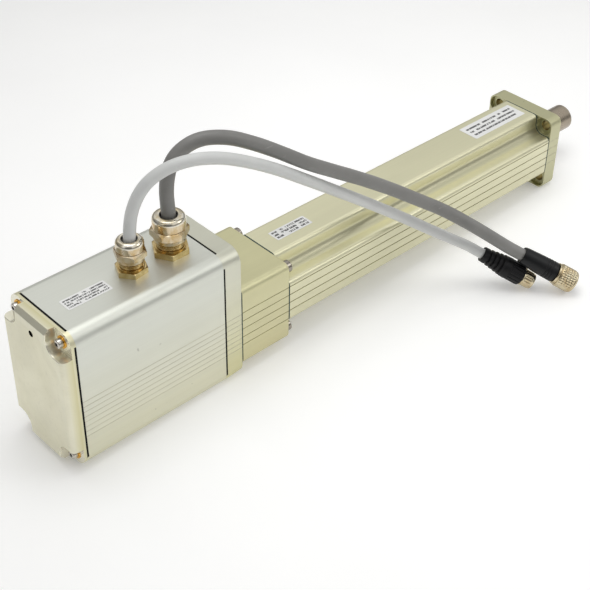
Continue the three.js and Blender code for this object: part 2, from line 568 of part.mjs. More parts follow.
// ---------------------------------------------------------------- plugs
// Modelled along +X from the cable's entry, then turned to their way.
function plugGroup({ entry, way }) {
  const group = new THREE.Group();
  group.position.set(...entry);
  group.quaternion.setFromUnitVectors(
    new THREE.Vector3(1, 0, 0), new THREE.Vector3(...way).normalize());
  actuator.add(group);
  return group;
}
function signalPlugBody() {
  const boot = [[0, 0], [0, 6.8], [5, 6.9]];
  // four grooves, each followed by a slightly larger rib
  for (let i = 0; i < 4; i++) {
    const [x, radius] = [5.4 + i * 4, 7.3 + i * 0.55];
    const floor = radius - 0.75;
    boot.push([x + 0.4, floor], [x + 1.4, floor], [x + 1.8, radius], [x + 4, radius]);
  }
  boot.push([22, 9.3], [22, 0]);
  const body = join(turned(boot, 16), bar(ribbed(9.4, 0.5, 8), 21.5, 40.6),
    cylinder(40, 49.5, 5.4, 16));
  return cut(body, cylinder(-PAST, 6.6, 5.6, 14));
}
function powerPlugBody() {
  const profile = [
    [0, 0], [0, 7.2], [1, 7.6], [4, 7.9], [16, 8.5], [32, 8.95],
    [33, 8.9], [33.4, 8.4], [33.4, 7.2], [50, 7.2], [50, 0]];
  return cut(turned(profile, 18), cylinder(-PAST, 7.5, 6.4, 14));
}
function powerPlugRing() {
  const knurl = bar(ribbed(10.5, 0.5, 12), 36.8, 51.8);
  const collar = cylinder(34, 37.2, 9.5, 20);
  const nose = turned([[51.2, 0], [51.2, 10], [52.4, 9.9], [53.4, 9], [53.4, 0]], 20);
  return cut(join(knurl, collar, nose), cylinder(33.5, 55, 7.7, 18));
}
const signalPlug = plugGroup(SIGNAL_PLUG);
add('signal_plug_body', signalPlugBody(), 'plug', signalPlug);
add('signal_plug_nut', cut(bar(ribbed(7.7, 0.45, 10), 41, 51.9),
  cylinder(40.5, 53, 5.95, 16)), 'nickel', signalPlug);
const powerPlug = plugGroup(POWER_PLUG);
add('power_plug_body', powerPlugBody(), 'plug', powerPlug);
add('power_plug_ring', powerPlugRing(), 'nickel', powerPlug);

// ---------------------------------------------------------------- labels
const LABEL_THICKNESS = 0.15;
function label(name, x0, x1, y0, y1, z) {
  const r = 1.2;
  const outline = [
    ...arc(x1 - r, y0 + r, r, -90, 0, 3), ...arc(x1 - r, y1 - r, r, 0, 90, 3),
    ...arc(x0 + r, y1 - r, r, 90, 180, 3), ...arc(x0 + r, y0 + r, r, 180, 270, 3)];
  add(name, slab(outline, z, z + LABEL_THICKNESS), 'label');
}
label('motor_label', 26.3, 64.3, -11.2, 2, MOTOR_TOP);
label('tube_label_rear', 227, 265.5, -7.2, 5.8, HALF);
label('tube_label_front', 469, 539.5, -10.2, 11.4, HALF);

export default actuator;
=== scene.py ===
# An electric linear actuator lying along X, its rod on the X axis. From -X to +X: rear cover (x = 0),
# motor housing, adapter plate, coupling housing, cylinder tube, front flange, and the push rod's end
# at x = 618 mm. Two cable glands stand on the motor housing (+Z); their cables arch over towards
# +X and come down on the -Y side to two plugs.
# Shapes are given in millimetres; shader coordinates, stage, lights and camera are in metres.
import bmesh
import bpy
import math
import random
import numpy as np
from mathutils import Matrix, Vector


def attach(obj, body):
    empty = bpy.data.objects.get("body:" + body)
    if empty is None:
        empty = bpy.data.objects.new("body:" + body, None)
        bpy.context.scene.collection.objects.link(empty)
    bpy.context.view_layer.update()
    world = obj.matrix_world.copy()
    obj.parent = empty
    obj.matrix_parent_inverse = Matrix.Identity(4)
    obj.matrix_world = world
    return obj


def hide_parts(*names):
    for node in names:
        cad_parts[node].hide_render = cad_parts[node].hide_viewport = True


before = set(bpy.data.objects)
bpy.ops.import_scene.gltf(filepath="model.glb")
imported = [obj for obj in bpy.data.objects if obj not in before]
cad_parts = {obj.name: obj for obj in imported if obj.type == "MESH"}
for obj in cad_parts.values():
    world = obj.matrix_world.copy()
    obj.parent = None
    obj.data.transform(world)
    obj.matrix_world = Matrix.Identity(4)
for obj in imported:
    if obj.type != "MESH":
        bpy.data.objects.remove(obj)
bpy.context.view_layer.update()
METRES_PER_MM = 0.001
SCENE = bpy.context.scene

# =================================================================================================
# Driving dimensions, millimetres
# =================================================================================================
BODY = "frame_body"
HALF = 37.5                    # half width of every section; half height of the square ones
LOW, HIGH = -48.0, 75.5        # underside and top of the cover, motor housing and adapter
MID = (LOW + HIGH) / 2
HALF_TALL = (HIGH - LOW) / 2
TALL_RADIUS, SQUARE_RADIUS = 10.0, 5.5   # corner radii of the tall and the square sections
MOTOR_X = (12.9, 144.6)
ADAPTER_X = (146.2, 161.5)
HOUSING_X = (162.3, 211.2)
TUBE_X = (212.3, 544.9)
FLANGE_X = (546.0, 561.0)
CORNERS = [(-1, 1), (1, 1), (1, -1), (-1, -1)]   # signs of y and z
BOLT = 30.0                    # y and z of the coupling housing's screws
BAY = 28.25                    # y and z of the round bays in the tube's corners and the flange
FINE = [-18.75, -14, -9.25, -4.5, 0.25, 5, 9.75, 14.5]   # heights of the shallow side grooves
WIDE = [-16.8, -8.8, -0.8, 7.2, 15.2]                    # heights of the deeper side grooves
TUBE_GROOVES = [z for z in WIDE if abs(z) < 15.4]
SMALL_GLAND, LARGE_GLAND = (87, -2.3), (123.4, -1.8)     # x, y
SIGNAL_RADIUS, POWER_RADIUS = 4.7, 5.5                   # cables
LABELS = {"motor": (26.3, 64.3, -11.2, 2), "rear": (227, 265.5, -7.2, 5.8),
          "front": (469, 539.5, -10.2, 11.4)}            # x0, x1, y0, y1


# =================================================================================================
# Materials
# =================================================================================================
def rgb(code):
    """An sRGB hex code as linear RGBA."""
    out = []
    for i in (1, 3, 5):
        value = int(code[i:i + 2], 16) / 255
        out.append(value / 12.92 if value <= 0.04045 else ((value + 0.055) / 1.055) ** 2.4)
    return (*out, 1.0)


def shade(colour, factor, lift=0.0):
    return tuple(min(1, value * factor + lift) for value in colour[:3]) + (1,)


class Graph:
    """A material's node graph, built around one Principled shader."""

    def __init__(self, name):
        self.material = bpy.data.materials.new(name)
        self.material.use_nodes = True
        self.tree = self.material.node_tree
        self.tree.nodes.clear()
        output = self.node("ShaderNodeOutputMaterial")
        self.shader = self.node("ShaderNodeBsdfPrincipled")
        self.link(self.shader.outputs[0], output.inputs[0])
        self.coords = self.node("ShaderNodeTexCoord")

    def node(self, kind, **props):
        node = self.tree.nodes.new(kind)
        for key, value in props.items():
            setattr(node, key, value)
        return node

    def link(self, source, target):
        self.tree.links.new(source, target)

    def put(self, socket, value):
        if hasattr(value, "is_output"):
            self.link(value, socket)
        else:
            socket.default_value = value

    def finish(self, **inputs):
        """Set or link the shader's inputs and return the material."""
        for key, value in inputs.items():
            self.put(self.shader.inputs[key.replace("_", " ")], value)
        return self.material

    def noise(self, scale, offset=(0, 0, 0), detail=3.0, rough=0.5, distort=0.0):
        """Noise over object space; scale is in cells per metre, one for all axes or three."""
        mapping = self.node("ShaderNodeMapping")
        self.link(self.coords.outputs["Object"], mapping.inputs[0])
        mapping.inputs["Location"].default_value = offset
        mapping.inputs["Scale"].default_value = scale if isinstance(scale, tuple) else (scale,) * 3
        noise = self.node("ShaderNodeTexNoise")
        self.link(mapping.outputs[0], noise.inputs["Vector"])
        noise.inputs["Scale"].default_value = 1.0
        noise.inputs["Detail"].default_value = detail
        noise.inputs["Roughness"].default_value = rough
        noise.inputs["Distortion"].default_value = distort
        return noise.outputs["Fac"]

    def mix(self, factor, under, over):
        node = self.node("ShaderNodeMix", data_type="RGBA")
        self.put(node.inputs[0], factor)
        self.put(node.inputs[6], under)
        self.put(node.inputs[7], over)
        return node.outputs[2]

    def math(self, operation, first, second=0.0):
        node = self.node("ShaderNodeMath", operation=operation)
        self.put(node.inputs[0], first)
        self.put(node.inputs[1], second)
        node.inputs[2].default_value = 0.0
        return node.outputs[0]

    def times(self, first, second):
        return self.math("MULTIPLY", first, second)

    def plus(self, first, second):
        return self.math("ADD", first, second)

    def swing(self, field, amount):
        """The field centred on zero and scaled."""
        return self.times(self.math("SUBTRACT", field, 0.5), amount)

    def span(self, value, source, target=(0.0, 1.0)):
        """Map the source range onto the target range."""
        node = self.node("ShaderNodeMapRange")
        self.put(node.inputs[0], value)
        for i, limit in enumerate((*source, *target)):
            node.inputs[i + 1].default_value = limit
        return node.outputs[0]

    def blend(self, under, over, field, source, amount=1.0):
        """Lay one colour over another, up to the amount, as the field crosses the source range."""
        return self.mix(self.span(field, source, (0.0, amount)), under, over)

    def axis(self, k):
        node = self.node("ShaderNodeSeparateXYZ")
        self.link(self.coords.outputs["Object"], node.inputs[0])
        return node.outputs[k]

    def bump(self, height, strength, depth, under=None):
        node = self.node("ShaderNodeBump")
        node.inputs["Strength"].default_value = strength
        node.inputs["Distance"].default_value = depth
        self.link(height, node.inputs["Height"])
        if under is not None:
            self.link(under, node.inputs["Normal"])
        return node.outputs[0]

    def convex_edge_highlight(self, amount):
        """Painted highlight strength: the amount along convex edges, 0 on flats."""
        geometry = self.node("ShaderNodeNewGeometry")
        return self.times(self.span(geometry.outputs["Pointiness"], (0.505, 0.56)), amount)


def aluminium(name, base, rough, lines, low=None, tone=0.05, channel=0.0):
    """Satin anodised aluminium: die lines along X, fine grain, soft blotches, painted highlights along
    convex edges.
    lines and tone set how strong the die lines and the variation are; low tints the lower part,
    painted light and shade standing in for the lower sides being lit differently from the top; channel
    paints shade into the corner bays."""
    g = Graph(name)
    die = g.noise((2.2, 620, 620), detail=4, rough=0.6)
    wide = g.noise((1.2, 130, 130), (3, 1, 2))
    blot = g.noise(14, detail=4, rough=0.55, distort=0.4)
    fine = g.noise(2600, detail=2, rough=0.6)
    spot = g.noise(150, (7, 3, 9), detail=2, rough=0.4)
    base = rgb(base)
    colour = base
    # painted light and shade: the lower part takes the low colour, standing in for the sides being lit
    # differently from the top
    if low:
        colour = g.blend(rgb(low), base, g.axis(2), (-0.040, 0.055))
    if channel:
        across, height = g.math("ABSOLUTE", g.axis(1)), g.math("ABSOLUTE", g.axis(2))
        inside = g.times(g.math("GREATER_THAN", height, 0.0198),
                         g.math("GREATER_THAN", across, 0.0205))
        outward = g.math("MAXIMUM", across, height)
        # painted shade: darkest deep in the fillet of each corner bay, fading out towards its floor
        # and wall
        bay_shade_mask = g.times(inside, g.span(outward, (0.0228, 0.0280), (channel, 0.0)))
        colour = g.mix(bay_shade_mask, colour, shade(base, 0.35))
    dark, light = shade(base, 0.80), shade(base, 1.13)
    for field, source, amount, over in (   # field, its range, strength, colour laid over
            (die, (0.42, 0.62), tone * 3.2 * lines, dark),
            (wide, (0.40, 0.66), tone * 2.4, light),
            (blot, (0.35, 0.7), tone * 2.2, dark),
            (spot, (0.76, 0.80), 0.35, rgb("#5f5c4a"))):
        colour = g.mix(g.times(g.span(field, source), amount), colour, over)
    # painted highlight: convex edges are mixed towards near-white
    colour = g.mix(g.convex_edge_highlight(amount=0.12), colour, rgb("#f4f3ea"))
    roughness = g.plus(g.plus(g.swing(die, 0.16 * lines), rough), g.swing(blot, 0.10))
    normal = g.bump(die, strength=0.10 * lines, depth=0.0004)
    normal = g.bump(fine, strength=0.05, depth=0.0002, under=normal)
    return g.finish(Base_Color=colour, Metallic=0.88, Roughness=roughness, Normal=normal,
                    Anisotropic=0.25 * lines)


def groove_shade(name, base):
    """Dust and shadow at the root of a narrow groove."""
    g = Graph(name)
    base = rgb(base)
    colour = g.blend(base, shade(base, 0.72), g.noise((30, 400, 400)), (0.3, 0.7))
    return g.finish(Base_Color=colour, Metallic=0.35, Roughness=0.6)


def cast(name, base):
    """Bead-blasted cover: even fine pitting with a faint sheen."""
    g = Graph(name)
    fine = g.noise(1500, rough=0.6)
    mid = g.noise(240, rough=0.6)
    blot = g.noise(22, (2, 5, 1), detail=4, rough=0.6, distort=0.5)
    warm = g.noise((30, 9, 9), (5, 1, 8), detail=2)
    colour = g.blend(rgb(base), rgb("#c6c2a4"), blot, (0.3, 0.72), amount=0.5)
    colour = g.blend(colour, rgb("#d9d5c4"), warm, (0.45, 0.7), amount=0.35)
    colour = g.blend(colour, rgb("#8f8b70"), mid, (0.55, 0.75), amount=0.12)
    # painted shade: past 2.5 mm from the back face, the bevels and sides go darker and yellower than
    # the face, standing in for how they are lit
    colour = g.blend(colour, rgb("#d6d0a6"), g.axis(0), (0.0025, 0.0055))
    # painted highlight: convex edges are mixed towards near-white
    colour = g.mix(g.convex_edge_highlight(amount=0.25), colour, rgb("#f5f4ea"))
    normal = g.bump(mid, strength=0.05, depth=0.0003)
    normal = g.bump(fine, strength=0.10, depth=0.0002, under=normal)
    roughness = g.span(blot, (0.2, 0.8), (0.36, 0.46))
    return g.finish(Base_Color=colour, Metallic=0.82, Roughness=roughness, Normal=normal)


def machined(name, base, rough, freq, strength=0.06, metal=1.0):
    """Turned or milled metal; its fine tool marks repeat along X, freq to the metre."""
    g = Graph(name)
    marks = g.noise((freq, 24.0, 24.0), detail=2)
    blot = g.noise(60, (1, 2, 3))
    base = rgb(base)
    colour = g.blend(base, shade(base, 0.72), blot, (0.35, 0.7), amount=0.35)
    colour = g.blend(colour, shade(base, 1.25), marks, (0.4, 0.7), amount=0.25)
    return g.finish(Base_Color=colour, Metallic=metal, Roughness=g.plus(g.swing(blot, 0.14), rough),
                    Normal=g.bump(marks, strength=strength, depth=0.0003))


def nickel(name, base, tint, rough):
    """Nickel-plated brass: bright, with brass showing warm in places and faint turning marks."""
    g = Graph(name)
    turn = g.noise((40, 40, 1500), detail=2)
    patch = g.noise((170, 170, 110), (4, 4, 4), rough=0.55, distort=0.3)
    return g.finish(Base_Color=g.blend(rgb(base), rgb(tint), patch, (0.38, 0.66)), Metallic=1.0,
                    Roughness=g.span(patch, (0.3, 0.7), (rough, rough + 0.1)),
                    Normal=g.bump(turn, strength=0.05, depth=0.0002))


def sheath(name, base, dark, scuff, scuffing, rough):
    """Smooth extruded cable sheath: faint lay of the cores, handling scuffs."""
    g = Graph(name)
    blot = g.noise(26, rough=0.55)
    fine = g.noise(1100, detail=2, rough=0.6)
    rub = g.noise((60, 340, 340), (3, 8, 1), detail=4, rough=0.7)
    colour = g.blend(rgb(base), rgb(dark), blot, (0.3, 0.7), amount=0.6)
    colour = g.blend(colour, rgb(scuff), rub, (0.62, 0.78), amount=scuffing)
    normal = g.bump(g.noise(90, (9, 9, 1), detail=2), strength=0.05, depth=0.0010)
    normal = g.bump(fine, strength=0.06, depth=0.0002, under=normal)
    return g.finish(Base_Color=colour, Normal=normal, Specular_IOR_Level=0.45,
                    Roughness=g.span(rub, (0.3, 0.8), (rough - 0.06, rough + 0.12)))


def moulded(name, base, rough, grain, strength, vary=0.3, spec=0.5):
    """Moulded rubber or plastic with a fine matte grain."""
    g = Graph(name)
    fine = g.noise(grain, rough=0.6)
    blot = g.noise(70, rough=0.6)
    base = rgb(base)
    colour = g.blend(base, shade(base, 1.9, lift=0.01), blot, (0.35, 0.7), amount=vary)
    return g.finish(Base_Color=colour, Specular_IOR_Level=spec,
                    Roughness=g.span(blot, (0.2, 0.8), (rough - 0.06, rough + 0.1)),
                    Normal=g.bump(fine, strength=strength, depth=0.0002))


def printed(name, box, rows, gap, seed, density, margin=1.7):
    """White foil label with rows of small illegible dashes. Millimetres."""
    g = Graph(name)
    x0, x1, y0, y1 = box
    x = g.times(g.axis(0), 1000.0)
    y = g.times(g.axis(1), 1000.0)

    def random_cell(column, line):
        joined = g.node("ShaderNodeCombineXYZ")
        g.link(g.math("FLOOR", column), joined.inputs[0])
        g.link(line, joined.inputs[1])
        white = g.node("ShaderNodeTexWhiteNoise", noise_dimensions="3D")
        g.link(joined.outputs[0], white.inputs["Vector"])
        return white.outputs["Value"]

    def within(value, start, end):
        return g.times(g.math("GREATER_THAN", value, start), g.math("LESS_THAN", value, end))

    pitch = (y1 - y0 - 2 * margin + gap) / rows
    line = g.math("DIVIDE", g.math("SUBTRACT", y, y0 + margin - gap / 2), pitch)
    row = g.math("FLOOR", line)
    part = g.math("FRACT", line)
    from_middle = g.math("ABSOLUTE", g.math("SUBTRACT", part, 0.5))
    band = g.span(g.math("SUBTRACT", 0.5 * (1 - gap / pitch), from_middle), (0.0, 0.06))
    # letters are short blocks, 1.55 to the millimetre; words are groups about 3 mm long
    stroke = g.math("FLOOR", g.times(g.plus(part, row), 2.6))
    letters = g.math("GREATER_THAN", random_cell(g.times(x, 1.55), g.plus(stroke, seed)),
                     1 - density - 0.18)
    shifted = g.plus(x, g.times(row, 2.3))
    words = g.math("GREATER_THAN",
                   random_cell(g.times(shifted, 0.31), g.plus(row, seed * 3.1)), 0.16)
    area = g.times(within(x, x0 + margin, x1 - margin),
                   within(y, y0 + margin - 0.2, y1 - margin + 0.2))
    mask = g.times(g.times(band, letters), g.times(words, area))
    paper = g.blend(rgb("#eeeeec"), rgb("#dfe0df"), g.noise(60), (0.3, 0.7), amount=0.5)
    return g.finish(Base_Color=g.mix(g.times(mask, 0.92), paper, rgb("#3a3a3c")), Roughness=0.38,
                    Normal=g.bump(g.noise(900, detail=2), strength=0.04, depth=0.0001))


MAT = {
    "motor": aluminium("motor_silver", "#d8dad1", low="#dcd9be", rough=0.44, lines=0.6),
    "adapter": aluminium("adapter_silver", "#d3d3c3", low="#d6d19f", rough=0.42, lines=0.5),
    "tube": aluminium("champagne", "#e2dfbd", low="#cfcba9", rough=0.39, lines=0.7, channel=0.7),
    "housing": aluminium("coupling_champagne", "#d1cea5", low="#d0c99d", rough=0.45, lines=0.4),
    "flange": aluminium("flange_champagne", "#bfbd98", rough=0.44, lines=0.2, tone=0.04),
    "groove": groove_shade("groove_shade", "#b0aa7c"),
    "fine_groove": groove_shade("fine_groove_shade", "#d3cfb8"),
    "cover": cast("cover_metal", "#e8e4ca"),
    # pocket: machined walls, near-white and partly diffuse; their brightness is painted in to stand in
    # for the bright reflections they show
    "pocket": machined("pocket_metal", "#f8f4df", rough=0.2, metal=0.72, freq=500, strength=0.05),
    "hole": machined("hole_metal", "#8c7f4e", rough=0.3, freq=700),
    "steel": machined("screw_steel", "#c9c4bc", rough=0.16, freq=900, strength=0.05),
    "screw": machined("socket_screw", "#9c968c", rough=0.2, freq=800, strength=0.05),
    "socket": machined("socket_dark", "#3b3733", rough=0.4, freq=600),
    "washer": machined("gold_washer", "#e3aa3c", rough=0.16, freq=1200, strength=0.04),
    "rod": machined("rod_steel", "#a59a8a", rough=0.28, freq=1400, strength=0.10),
    "rod_end": machined("rod_end_steel", "#9a8f80", rough=0.3, freq=400, strength=0.05),
    "gland": nickel("gland_nickel", "#d6c8ae", tint="#c4a877", rough=0.13),
    "gland_top": nickel("gland_top", "#d9d2c2", tint="#cbbd9c", rough=0.24),
    "dome": nickel("gland_dome", "#e6e1d4", tint="#d3c6a8", rough=0.05),
    "thread": nickel("gland_thread", "#cfb884", tint="#b3965c", rough=0.16),
    "gland_base": nickel("gland_base", "#cdb98a", tint="#b39b62", rough=0.16),
    "plug_metal": nickel("plug_metal", "#d2c8ac", tint="#c0ad88", rough=0.16),
    "rubber": moulded("gasket_rubber", "#070708", rough=0.7, grain=700, strength=0.15, spec=0.2),
    "green": moulded("gasket_green", "#1d3833", rough=0.55, grain=700, strength=0.12),
    "seal": moulded("seal_rubber", "#0c0c0d", rough=0.5, grain=600, strength=0.12),
    "plug": moulded("plug_black", "#0d0e10", rough=0.38, grain=900, strength=0.10, vary=0.2,
                    spec=0.28),
    "boot": moulded("boot_black", "#0b0b0d", rough=0.46, grain=700, strength=0.16, vary=0.2,
                    spec=0.28),
    "light": sheath("cable_light", "#dbdcda", dark="#c8c9c8", scuff="#eaebea", scuffing=0.35,
                    rough=0.42),
    "dark": sheath("cable_dark", "#888784", dark="#6f6e6b", scuff="#b4b2ab", scuffing=0.42,
                   rough=0.40),
    "label_motor": printed("label_motor_print", LABELS["motor"], rows=4, gap=1.0, seed=3,
                           density=0.58),
    "label_rear": printed("label_rear_print", LABELS["rear"], rows=3, gap=1.2, seed=11,
                          density=0.58),
    "label_front": printed("label_front_print", LABELS["front"], rows=3, gap=2.6, seed=23,
                           density=0.66, margin=4.2),
    "backing": moulded("label_edge", "#dcdcda", rough=0.5, grain=500, strength=0.05, vary=0.1),
    "bronze": machined("bush_bronze", "#a9803f", rough=0.3, freq=900),
    "copper": machined("stator_copper", "#a9683a", rough=0.4, freq=1400, strength=0.3),
    "dark_steel": machined("dark_steel", "#6d6a66", rough=0.34, freq=700),
    "inner": machined("inner_steel", "#9d9a95", rough=0.24, freq=900),
    "board": moulded("board_green", "#16492a", rough=0.4, grain=300, strength=0.2),
    "spider": moulded("spider_red", "#8e241d", rough=0.45, grain=500, strength=0.1),
    "guide": moulded("guide_band", "#2e2e30", rough=0.5, grain=600, strength=0.1),
    "disc": machined("encoder_disc", "#c8c8c8", rough=0.1, freq=2000, strength=0.03),
}


# =================================================================================================
# Outlines: (y, z) in millimetres, counter-clockwise seen from +X
# =================================================================================================
def polar(y, z, radius, degrees):
    angle = math.radians(degrees)
    return y + radius * math.cos(angle), z + radius * math.sin(angle)


def arc(y, z, radius, start, end, steps):
    return [polar(y, z, radius, start + (end - start) * i / steps) for i in range(steps + 1)]


def corner_arcs(y0, y1, z0, z1, radius, steps):
    """The four rounded corners of a rectangle, from (y1, z0) round to (y0, z0)."""
    return [arc(y1 - radius, z0 + radius, radius, -90, 0, steps),
            arc(y1 - radius, z1 - radius, radius, 0, 90, steps),
            arc(y0 + radius, z1 - radius, radius, 90, 180, steps),
            arc(y0 + radius, z0 + radius, radius, 180, 270, steps)]


def side_grooves(side, heights, half, width, depth):
    """Grooves in the side of that sign, in the outline's running order."""
    return [(side * (half - inset), z + side * width * shift)
            for z in sorted(heights, reverse=side < 0)
            for inset, shift in ((0, -0.5), (depth, -0.2), (depth, 0.2), (0, 0.5))]


GROOVE_TAGS = [1, 1, 1, 0]


def rounded(half, z0, z1, radius, steps, grooves=(), width=0.8, depth=0.4):
    """(points, tags): a rounded rectangle, grooved on both sides; tag 1 marks a groove's edge."""
    arcs = corner_arcs(-half, half, z0, z1, radius, steps)
    right, left = (side_grooves(side, grooves, half, width, depth) for side in (1, -1))
    plain, cut_in = [0] * (steps + 1), GROOVE_TAGS * len(grooves)
    return (arcs[0] + right + arcs[1] + arcs[2] + left + arcs[3],
            plain + cut_in + plain * 2 + cut_in + plain)


def tall(steps=12, radius=TALL_RADIUS, grooves=()):
    """The outline of the cover, motor housing and adapter."""
    return rounded(HALF, LOW, HIGH, radius, steps, grooves, width=0.5, depth=0.14)


def square(radius, steps, grooves=(), width=0.8, depth=0.4):
    return rounded(HALF, -HALF, HALF, radius, steps, grooves, width, depth)


def tube_section(steps, grooves=(), width=0.9, depth=0.5):
    """(points, tags): a square whose corners are open bays, with grooves in the two sides."""
    wall, radius, bay_radius = 20.0, 4.0, BAY - 20.0
    corner = (arc(HALF - radius, wall - radius, radius, 0, 90, steps)
              + arc(BAY, BAY, bay_radius, -90, -180, steps + 5)
              + arc(wall - radius, HALF - radius, radius, 0, 90, steps))
    points, tags = [], []
    for cosine, sine, side in [(1, 0, 0), (0, 1, -1), (-1, 0, 0), (0, -1, 1)]:
        points += [(y * cosine - z * sine, y * sine + z * cosine) for y, z in corner]
        tags += [0] * len(corner)
        if side:
            points += side_grooves(side, grooves, HALF, width, depth)
            tags += GROOVE_TAGS * len(grooves)
    return points, tags


def notched(half, z0, z1, notch):
    """A rectangle with a square notch at each corner."""
    return [(half - notch, z0), (half - notch, z0 + notch), (half, z0 + notch),
            (half, z1 - notch), (half - notch, z1 - notch), (half - notch, z1),
            (-half + notch, z1), (-half + notch, z1 - notch), (-half, z1 - notch),
            (-half, z0 + notch), (-half + notch, z0 + notch), (-half + notch, z0)]


def corner_notch(y, z, sy, sz, radius, far=14.0):
    """A pocket open to both sides of its corner, with a round inner corner."""
    shape = [(far, far), (-radius, far)] + arc(0, 0, radius, 180, 270, 20) + [(far, -radius)]
    points = [(y + sy * across, z + sz * height) for across, height in shape]
    return points if sy * sz > 0 else points[::-1]


def hexagon(y, z, across, turn):
    return [polar(y, z, across / math.sqrt(3), turn + 60 * i) for i in range(6)]


def offset(points, distance):
    """The outline moved inwards."""
    count = len(points)
    out = []
    for i in range(count):
        before, here, after = points[i - 1], points[i], points[(i + 1) % count]
        edges = [(here[0] - before[0], here[1] - before[1]),
                 (after[0] - here[0], after[1] - here[1])]
        normals = []
        for y, z in edges:
            length = math.hypot(y, z) or 1e-9
            normals.append((-z / length, y / length))
        ny, nz = (normals[0][k] + normals[1][k] for k in (0, 1))
        reach = 1 / max(0.7, ny * ny + nz * nz) * 2
        out.append((here[0] + ny * reach * distance * 0.5, here[1] + nz * reach * distance * 0.5))
    return out


def wavy(points, step, swing, seed):
    """The outline split into short runs whose straight sides wander a little."""
    rand = random.Random(seed)
    out = []
    for start, end in zip(points, points[1:] + points[:1]):
        dy, dz = end[0] - start[0], end[1] - start[1]
        length = math.hypot(dy, dz)
        count = max(1, int(length / step))
        ny, nz = dz / (length or 1), -dy / (length or 1)
        for k in range(count):
            t = k / count
            shift = 0 if k == 0 else rand.uniform(-swing, swing)
            out.append((start[0] + dy * t + ny * shift, start[1] + dz * t + nz * shift))
    return out


# =================================================================================================
# Meshes. "looks" is a string of MAT keys, one for each material slot.
# =================================================================================================
def make_object(name, verts, faces, looks, index=None, scale=METRES_PER_MM):
    mesh = bpy.data.meshes.new(name)
    mesh.from_pydata([(x * scale, y * scale, z * scale) for x, y, z in verts], [], faces)
    for key in looks.split():
        mesh.materials.append(MAT[key])
    if index is not None:
        mesh.polygons.foreach_set("material_index", index)
    mesh.validate()
    mesh.update()
    ob = bpy.data.objects.new(name, mesh)
    SCENE.collection.objects.link(ob)
    return ob


def ring_faces(rings, segments, closed=False):
    """Quads between successive rings; open stacks are capped, closed ones join last to first."""
    faces = []
    for k in range(rings if closed else rings - 1):
        here, there = k * segments, (k + 1) % rings * segments
        for i in range(segments):
            j = (i + 1) % segments
            faces.append((here + i, here + j, there + j, there + i))
    if not closed:
        faces.append(tuple(reversed(range(segments))))
        faces.append(tuple(range((rings - 1) * segments, rings * segments)))
    return faces


def loft(name, sections, looks, tags=None):
    """sections: [(x, outline)], outlines with equal counts. Tagged edges take the second look."""
    count = len(sections[0][1])
    verts = [(x, y, z) for x, points in sections for y, z in points]
    index = (tags or [0] * count) * (len(sections) - 1) + [0, 0]
    return make_object(name, verts, ring_faces(len(sections), count), looks, index)


def prism(name, outline, x0, x1, looks):
    return loft(name, [(x0, outline), (x1, outline)], looks)


def bar(name, outline, span, looks, tags, soft0, soft1, steps=3):
    """An extrusion along X whose end edges are rounded off by soft0 and soft1."""
    def eased(soft, k):
        angle = math.radians(90 * k / steps)
        return soft * (1 - math.cos(angle)), offset(outline, soft * (1 - math.sin(angle)))
    head = [eased(soft0, k) for k in range(steps + 1)]
    tail = [eased(soft1, k) for k in range(steps, -1, -1)]
    sections = [(span[0] + dx, points) for dx, points in head]
    sections += [(span[1] - dx, points) for dx, points in tail]
    return loft(name, sections, looks, tags)


def lathe(name, profile, looks, at=(0, 0, 0), axis="X", segments=64, index=None, closed=False):
    """profile: [(distance along the axis, radius)], its ends on the axis or closed on itself.
    Faces look outwards when the profile runs up the outside. index: a look for each step."""
    verts, faces, face_index, rings = [], [], [], []
    for h, radius in profile:
        count = 1 if radius < 1e-6 else segments
        rings.append(list(range(len(verts), len(verts) + count)))
        for i in range(count):
            angle = 2 * math.pi * i / segments
            u, v = (0.0, 0.0) if count == 1 else (radius * math.cos(angle), radius * math.sin(angle))
            x, y, z = (h, u, v) if axis == "X" else (u, v, h)
            verts.append((x + at[0], y + at[1], z + at[2]))
    following = rings[1:] + (rings[:1] if closed else [])
    for k, (here, there) in enumerate(zip(rings, following)):
        for i in range(segments):
            j = (i + 1) % segments
            if len(here) == 1:
                faces.append((here[0], there[j], there[i]))
            elif len(there) == 1:
                faces.append((here[i], here[j], there[0]))
            else:
                faces.append((here[i], here[j], there[j], there[i]))
            face_index.append(index[k] if index else 0)
    return make_object(name, verts, faces, looks, face_index)


def turned(name, rings, segments, radius_at, looks, closed):
    """A body along +X from rings of (distance, radius, pattern amount), where
    radius_at(distance, radius, amount, angle) gives the surface."""
    verts = []
    for h, radius, amount in rings:
        for i in range(segments):
            angle = 2 * math.pi * i / segments
            surface = radius_at(h, radius, amount, angle)
            verts.append((h, surface * math.cos(angle), surface * math.sin(angle)))
    return make_object(name, verts, ring_faces(len(rings), segments, closed), looks)


def hex_z(name, at, across, turn, z0, z1, looks):
    """A hexagonal prism along Z; its heights are measured from at."""
    outline = hexagon(at[0], at[1], across, turn)
    verts = [(x, y, z + at[2]) for z in (z0, z1) for x, y in outline]
    faces = [(i, (i + 1) % 6, 6 + (i + 1) % 6, 6 + i) for i in range(6)]
    faces += [tuple(range(5, -1, -1)), tuple(range(6, 12))]
    return make_object(name, verts, faces, looks)


def drill(x0, x1, radius, look, y=0, z=0, segments=48, flare=0.0):
    """A cutter along X, running 1 mm past both ends; flare chamfers the end at x1."""
    far = [(x1 + 1, radius)]
    if flare:
        far = [(x1 - flare, radius), (x1 + 1, radius + flare + 1)]
    profile = [(x0 - 1, 0), (x0 - 1, radius)] + far + [(x1 + 1, 0)]
    return lathe("cutter", profile, look, (0, y, z), segments=segments)


def hex_socket(x0, x1, y, z, across, turn):
    return prism("cutter", hexagon(y, z, across, turn), x0, x1, "socket")


